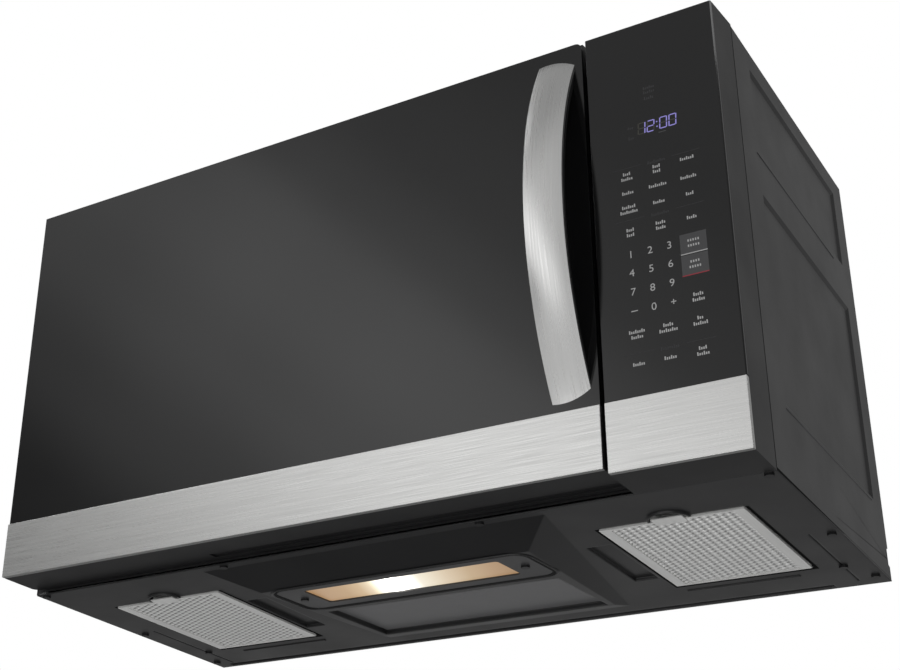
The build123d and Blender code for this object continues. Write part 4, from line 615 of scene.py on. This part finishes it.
def make_clock():
    """Lit digits, and the unlit segments that still show faintly."""
    lit, unlit = bmesh.new(), bmesh.new()
    for x, digit in zip(clock_places, clock_shows):
        for letter in "abcdefg":
            target = lit if letter in segments_of_digit[digit] else unlit
            add_segment(target, x, clock_z, letter)
    for dz in (-colon_rise, colon_rise):
        add_print(lit, (clock_places[1] + clock_places[2]) / 2, clock_z + dz, colon_dot, colon_dot)
    new_piece("clock_lit", lit, digit_light, "root")
    new_piece("clock_unlit", unlit, digit_unlit, "root")


make_keypad()
make_marks()
make_pads()
make_dividers()
make_clock()


# ------------------------------------------------------------ filter nets
net_column_pitch = 6.6 * MM
net_row_pitch = 6.85 * MM
net_step = 0.75 * MM
net_depth = 2.9 * MM


def net_height(x, y):
    """0 in the net's hollows and 1 on its bumps, which stand in staggered columns."""
    wave = math.cos(math.pi * x / net_column_pitch) * math.cos(2 * math.pi * y / net_row_pitch)
    return 0.5 + 0.5 * wave


def make_net(side):
    """A pressed metal net: staggered bumps on both faces of a thin pad, inside the CAD net's box."""
    low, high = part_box(f"filter_{side}_mesh")
    columns = round((high.x - low.x) / net_step)
    rows = round((high.y - low.y) / net_step)
    middle_x = (low.x + high.x) / 2
    builder = bmesh.new()
    # hollow: how deep each point lies; the net's material turns it into painted shade
    hollow = builder.verts.layers.float.new("hollow")
    grids = []
    for face_z, depth in ((low.z, net_depth), (high.z, -net_depth)):
        grid = []
        for j in range(rows + 1):
            y = low.y + (high.y - low.y) * j / rows
            line = []
            for i in range(columns + 1):
                x = low.x + (high.x - low.x) * i / columns
                drop = 1 - net_height(x - middle_x, y - low.y)
                point = builder.verts.new((x, y, face_z + depth * drop))
                point[hollow] = drop
                line.append(point)
            grid.append(line)
        grids.append(grid)
    for grid, flip in zip(grids, (True, False)):
        for j in range(rows):
            for i in range(columns):
                quad = (grid[j][i], grid[j][i + 1], grid[j + 1][i + 1], grid[j + 1][i])
                builder.faces.new(tuple(reversed(quad)) if flip else quad)
    front, back = grids
    edges = [(0, i, 0, i + 1) for i in range(columns)] + [(rows, i + 1, rows, i) for i in range(columns)]
    edges += [(j + 1, 0, j, 0) for j in range(rows)] + [(j, columns, j + 1, columns) for j in range(rows)]
    for j0, i0, j1, i1 in edges:
        builder.faces.new((front[j0][i0], front[j1][i1], back[j1][i1], back[j0][i0]))
    net = new_piece(f"net_{side}", builder, net_metal, f"filter_{side}", smooth=True)
    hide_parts(f"filter_{side}_mesh")


for side in ("left", "right"):
    make_net(side)


# ------------------------------------------------------------ small trim under the base and on the sides
cad_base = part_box("panel_housing")[0].z
cabinet_low, cabinet_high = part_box("cabinet_wrap")
sunk = 0.02 * MM
plate_low, plate_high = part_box("lamp_cover_plate")
plate_sheet = 1.6 * MM
pan_angle = math.atan2(plate_high.z - plate_low.z - plate_sheet, plate_high.y - plate_low.y)
plate_size = (plate_high.x - plate_low.x, (plate_high.y - plate_low.y) / math.cos(pan_angle))
plate_radius = 14.4 * MM


def pan_point(x, along, lift=0.0):
    """A point on the lamp pan's slope: along runs backwards from the plate's front edge, lift goes up."""
    y = plate_low.y + along * math.cos(pan_angle) - lift * math.sin(pan_angle)
    return (x, y, plate_low.z + along * math.sin(pan_angle) + lift * math.cos(pan_angle))


def add_plate_ring(name, profile, material, smooth=False):
    """A ring round the lamp plate; its profile is a closed list of (distance outside the plate, drop)."""
    builder = bmesh.new()
    rings = []
    for outset, drop in profile:
        width, length = plate_size[0] + 2 * outset, plate_size[1] + 2 * outset
        outline = rounded_outline(width, length, plate_radius + outset, (0, plate_size[1] / 2))
        rings.append([builder.verts.new(pan_point(x, along, -drop)) for x, along in outline])
    for ring, following in zip(rings, rings[1:] + rings[:1]):
        for i in range(len(ring)):
            k = (i + 1) % len(ring)
            builder.faces.new((ring[i], ring[k], following[k], following[i]))
    bmesh.ops.recalc_face_normals(builder, faces=builder.faces)
    new_piece(name, builder, material, "root", smooth)


seal_reach = (-1.1 * MM, 1.3 * MM)
seal_height = 0.3 * MM
rim_reach = (1.3 * MM, 5.3 * MM)
rim_height = 0.9 * MM
rim_steps = 8


def make_lamp_rings():
    """The black seal at the plate's edge, and the pressed rim of the pan outside it."""
    inner, outer = seal_reach
    profile = [(inner, -sunk), (inner, seal_height), (outer, seal_height), (outer, -sunk)]
    add_plate_ring("lamp_gasket", profile, gasket_rubber)
    inner, outer = rim_reach
    profile = [
        (inner + (outer - inner) * i / rim_steps, rim_height * math.sin(math.pi * i / rim_steps))
        for i in range(rim_steps + 1)
    ]
    add_plate_ring("lamp_rim", profile, base_paint, smooth=True)


recess_start, recess_length = 92.0 * MM, 115.0 * MM
recess_half, recess_depth = 125.0 * MM, 5.0 * MM
recess_panel_sheet = 0.3 * MM
recess_panel_inset = 1.0 * MM


def make_recess_panel():
    """The smooth sheet in the flat recess behind the lamp; its lighter paint is painted light, as the
    recess is lit more than the rest of the base.
    """
    low = recess_start + recess_panel_inset
    high = recess_start + recess_length - recess_panel_inset
    half = recess_half - recess_panel_inset
    builder = bmesh.new()
    outline = ((-half, low), (half, low), (half, high), (-half, high))
    corners = [pan_point(x, along, recess_depth) for x, along in outline]
    downwards = Vector(pan_point(0, 0, -recess_panel_sheet)) - Vector(pan_point(0, 0))
    add_plate(builder, corners, downwards)
    bmesh.ops.recalc_face_normals(builder, faces=builder.faces)
    new_piece("recess_panel", builder, recess_light_paint, "root")


filter_rail = 9.5 * MM
filter_end_rail = 3.0 * MM
filter_side_gap, filter_rear_gap = 1.5 * MM, 2.6 * MM
# painted shade: black strips for the shaded gaps beside and behind the filters, reaching back over the dip
# behind them
filter_shade_width, filter_shade_rear = 2.4 * MM, 5.5 * MM
shade_sheet = 0.2 * MM


def add_block(builder, low, high):
    """A box between two opposite corners."""
    outline = ((low[0], low[1]), (high[0], low[1]), (high[0], high[1]), (low[0], high[1]))
    add_plate(builder, [(x, y, low[2]) for x, y in outline], (0, 0, high[2] - low[2]))


def make_filter_gap_shade():
    """Black strips on the base along the sides and the rear of both filter openings: painted shade for the
    gaps there and for the dark band of the dip behind them.
    """
    builder = bmesh.new()
    z = (cad_base - shade_sheet, cad_base + sunk)
    for side in ("left", "right"):
        low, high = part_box(f"filter_{side}_mesh")
        left = low.x - filter_rail - filter_side_gap
        right = high.x + filter_rail + filter_side_gap
        front, rear = low.y - filter_end_rail, high.y + filter_end_rail + filter_rear_gap
        end = rear + filter_shade_rear
        add_block(builder, (left - filter_shade_width, front, z[0]), (left, end, z[1]))
        add_block(builder, (right, front, z[0]), (right + filter_shade_width, end, z[1]))
        add_block(builder, (left, rear, z[0]), (right, end, z[1]))
    bmesh.ops.recalc_face_normals(builder, faces=builder.faces)
    new_piece("filter_gap_shade", builder, joint_and_shade_black, "root")


joint_width, joint_proud, joint_end = 1.2 * MM, 0.08 * MM, 1 * MM
# the seam at the foot of the sides: distance from the cabinet's front, and upper edge
base_seam = ((0.0, 2.6 * MM), (175.0 * MM, 1.5 * MM))
base_seam_low = 1.2 * MM


def make_side_joints():
    """The dark joint between fascia and cabinet, and the seam between base and cabinet, on both sides."""
    builder = bmesh.new()
    front, rear = cabinet_low.y - joint_width / 2, cabinet_low.y + joint_width / 2
    low, high = cad_base + joint_end, cabinet_high.z - joint_end
    joint = ((front, low), (rear, low), (rear, high), (front, high))
    (front, front_top), (rear, rear_top) = base_seam
    front, rear = cabinet_low.y + front, cabinet_low.y + rear
    seam = (
        (front, cad_base), (rear, cad_base + base_seam_low),
        (rear, cad_base + rear_top), (front, cad_base + front_top),
    )
    for side in (-1, 1):
        for outline in (joint, seam):
            corners = [(side * cabinet_high.x, y, z) for y, z in outline]
            add_plate(builder, corners, (side * joint_proud, 0, 0))
    bmesh.ops.recalc_face_normals(builder, faces=builder.faces)
    new_piece("side_joints", builder, joint_and_shade_black, "root")


# raised folds on the sides, in mm: height, front, rear, thickness
side_ribs = ((99.0, -285.0, -62.0, 1.3), (-142.5, -281.0, -36.0, 2.0))
side_rib_proud, side_rib_root = 0.5 * MM, 0.05 * MM
rib_end_share = 0.35
rib_steps = 5


def make_side_ribs():
    """Thin raised folds that run along both sides, tapering to their ends; their paint is lighter than the
    sides' as a painted highlight.
    """
    builder = bmesh.new()
    for side in (-1, 1):
        for z, front, rear, width in side_ribs:
            rows = []
            for i in range(rib_steps + 1):
                share = i / rib_steps
                swell = rib_end_share + (1 - rib_end_share) * math.sin(math.pi * share)
                half = width * MM / 2 * swell
                y = (front + (rear - front) * share) * MM
                x = side * cabinet_high.x
                rows.append([
                    builder.verts.new((x - side * side_rib_root, y, z * MM - half)),
                    builder.verts.new((x + side * side_rib_proud, y, z * MM)),
                    builder.verts.new((x - side * side_rib_root, y, z * MM + half)),
                ])
            for row, following in zip(rows, rows[1:]):
                for i in range(3):
                    k = (i + 1) % 3
                    builder.faces.new((row[i], row[k], following[k], following[i]))
            builder.faces.new(rows[0])
            builder.faces.new(rows[-1])
    bmesh.ops.recalc_face_normals(builder, faces=builder.faces)
    new_piece("side_ribs", builder, rib_highlight_paint, "root")


bead_y, bead_width, bead_height = -54.0 * MM, 6.0 * MM, 0.9 * MM
bead_span = (205.0 * MM, 312.0 * MM)
bead_steps = 6


def make_rear_beads():
    """A low rounded rib across the base behind each filter."""
    builder = bmesh.new()
    for side in (-1, 1):
        ends = []
        for x in bead_span:
            ends.append([
                builder.verts.new((
                    side * x,
                    bead_y - bead_width / 2 + bead_width * i / bead_steps,
                    cad_base + sunk - bead_height * math.sin(math.pi * i / bead_steps),
                ))
                for i in range(bead_steps + 1)
            ])
        first, second = ends
        for i in range(bead_steps + 1):
            k = (i + 1) % (bead_steps + 1)
            builder.faces.new((first[i], first[k], second[k], second[i]))
        builder.faces.new(first)
        builder.faces.new(second)
    bmesh.ops.recalc_face_normals(builder, faces=builder.faces)
    new_piece("rear_beads", builder, base_paint, "root")


make_lamp_rings()
make_recess_panel()
make_filter_gap_shade()
make_side_joints()
make_side_ribs()
make_rear_beads()


# ------------------------------------------------------------ floor, world and lamps
floor_drop = 1.15
floor_half = 30.0
# what a reflection sees of the floor, from its front to its rear: an emitted grey with a painted shadow,
# darkest under the object
floor_shine_y = (-4.0, 6.0)
floor_shine = (
    (0.0, 0.50), (0.22, 0.42), (0.34, 0.16), (0.45, 0.07), (0.60, 0.12), (0.75, 0.22), (0.92, 0.36),
)
floor_grey = (0.80, 0.80, 0.80)
floor_roughness = 0.9


def is_ray(tree, kind):
    """1 for rays of this kind, 0 for others."""
    return tree.nodes.new("ShaderNodeLightPath").outputs[f"Is {kind} Ray"]


def make_floor():
    """A plain pale floor; reflections see a painted shadow on it, darkest under the object, and from below
    it isn't seen.
    """
    builder = bmesh.new()
    z = cad_low.z - floor_drop
    corners = [(sx * floor_half, sy * floor_half, z) for sx, sy in ((-1, -1), (1, -1), (1, 1), (-1, 1))]
    builder.faces.new([builder.verts.new(corner) for corner in corners])
    mesh = bpy.data.meshes.new("floor")
    builder.to_mesh(mesh)
    builder.free()
    floor = bpy.data.objects.new("floor", mesh)
    bpy.context.scene.collection.objects.link(floor)
    material = grained("floor_paint", floor_grey, floor_roughness, variation=0.01, depth=0.0)
    tree = material.node_tree
    place = tree.nodes.new("ShaderNodeTexCoord")
    parts = tree.nodes.new("ShaderNodeSeparateXYZ")
    tree.links.new(place.outputs["Object"], parts.inputs["Vector"])
    # painted shadow: the emission that reflections see dims under the object
    along = between(tree, parts.outputs["Y"], 0.0, 1.0, *floor_shine_y)
    shine = tree.nodes.new("ShaderNodeEmission")
    tree.links.new(grey_ramp(tree, along, floor_shine, "EASE"), shine.inputs["Color"])
    mix = tree.nodes.new("ShaderNodeMixShader")
    output = tree.nodes["Material Output"]
    tree.links.new(is_ray(tree, "Glossy"), mix.inputs["Fac"])
    tree.links.new(tree.nodes["Principled BSDF"].outputs["BSDF"], mix.inputs[1])
    tree.links.new(shine.outputs["Emission"], mix.inputs[2])
    one_sided = tree.nodes.new("ShaderNodeMixShader")
    geometry = tree.nodes.new("ShaderNodeNewGeometry")
    tree.links.new(geometry.outputs["Backfacing"], one_sided.inputs["Fac"])
    tree.links.new(mix.outputs["Shader"], one_sided.inputs[1])
    tree.links.new(tree.nodes.new("ShaderNodeBsdfTransparent").outputs["BSDF"], one_sided.inputs[2])
    tree.links.new(one_sided.outputs["Shader"], output.inputs["Surface"])
    mesh.materials.append(material)


# the world's strength for diffuse light, and what reflections see of the room beside the window
world_light = 0.78
room_shine = 0.28
# the soft window that the front reflects: its middle, and its slanting band
window_azimuth, window_elevation = -32.0, 25.0
window_slant = 33.7
window_gain = 1.6
band_range = (-15.0, 13.0)
band_profile = (
    (0.0, 0.10), (0.14, 0.19), (0.28, 0.50), (0.42, 0.80), (0.54, 0.94), (0.62, 0.90),
    (0.70, 0.58), (0.80, 0.40), (1.0, 0.30),
)
fade_range = (-2.0, 16.0)
fade_profile = ((0.0, 1.0), (0.35, 0.85), (0.75, 0.58), (1.0, 0.45))
ahead_range = (0.55, 0.85)


def make_world():
    """White where the camera or glass looks, a soft window for reflections, a plain level for the rest."""
    world = bpy.data.worlds.new("studio")
    bpy.context.scene.world = world
    world.use_nodes = True
    tree = world.node_tree
    background = tree.nodes["Background"]
    background.inputs["Color"].default_value = (1.0, 1.0, 1.0, 1.0)
    place = tree.nodes.new("ShaderNodeTexCoord")

    def along(axis):
        node = tree.nodes.new("ShaderNodeVectorMath")
        node.operation = "DOT_PRODUCT"
        node.inputs[1].default_value = axis
        tree.links.new(place.outputs["Generated"], node.inputs[0])
        return node.outputs["Value"]

    def join(operation, first, second):
        node = tree.nodes.new("ShaderNodeMath")
        node.operation = operation
        tree.links.new(first, node.inputs[0])
        tree.links.new(second, node.inputs[1])
        return node.outputs[0]

    azimuth, elevation = math.radians(window_azimuth), math.radians(window_elevation)
    slant = math.radians(window_slant)
    middle = Vector((
        math.sin(azimuth) * math.cos(elevation),
        -math.cos(azimuth) * math.cos(elevation),
        math.sin(elevation),
    ))
    across = Vector((math.cos(azimuth), math.sin(azimuth), 0))
    upward = middle.cross(across)
    band_axis = math.sin(slant) * across / math.cos(elevation) + math.cos(slant) * upward
    fade_axis = -math.cos(slant) * across / math.cos(elevation) + math.sin(slant) * upward
    low, high = (math.sin(math.radians(a)) for a in band_range)
    band = grey_ramp(tree, between(tree, along(band_axis), 0.0, 1.0, low, high), band_profile, "EASE")
    low, high = (math.sin(math.radians(a)) for a in fade_range)
    fade = grey_ramp(tree, between(tree, along(fade_axis), 0.0, 1.0, low, high), fade_profile, "EASE")
    ahead = between(tree, along(middle), 0.0, 1.0, *ahead_range)
    window = between(tree, join("MULTIPLY", band, fade), 0.0, window_gain, 0.0, 1.0)
    mirrored = tree.nodes.new("ShaderNodeMix")
    tree.links.new(ahead, mirrored.inputs["Factor"])
    mirrored.inputs["A"].default_value = room_shine
    tree.links.new(window, mirrored.inputs["B"])
    chosen = tree.nodes.new("ShaderNodeMix")
    tree.links.new(is_ray(tree, "Glossy"), chosen.inputs["Factor"])
    chosen.inputs["A"].default_value = world_light
    tree.links.new(mirrored.outputs["Result"], chosen.inputs["B"])
    seen = join("MAXIMUM", is_ray(tree, "Camera"), is_ray(tree, "Transmission"))
    tree.links.new(join("MAXIMUM", seen, chosen.outputs["Result"]), background.inputs["Strength"])


def add_softbox(name, place, target, size, power):
    """A soft rectangular lamp that the camera doesn't see."""
    data = bpy.data.lights.new(name, "AREA")
    data.shape = "RECTANGLE"
    data.size, data.size_y = size
    data.energy = power
    lamp = bpy.data.objects.new(name, data)
    bpy.context.scene.collection.objects.link(lamp)
    lamp.location = place
    lamp.rotation_euler = (Vector(target) - Vector(place)).to_track_quat("-Z", "Y").to_euler()
    lamp.visible_camera = False


# name, place, target, size and watts
softboxes = (
    ("key", (-2.4, -0.6, 2.4), (0, -0.2, 0), (2.2, 1.8), 46.0),
    ("fill", (2.4, -0.6, 2.4), (0.2, -0.2, 0), (1.4, 1.4), 16.0),
    ("low", (0.13, -0.95, -1.24), (0, -0.17, -0.2), (1.2, 0.8), 6.0),
)

make_floor()
make_world()
for softbox in softboxes:
    add_softbox(*softbox)

bpy.context.scene.view_settings.view_transform = "Standard"
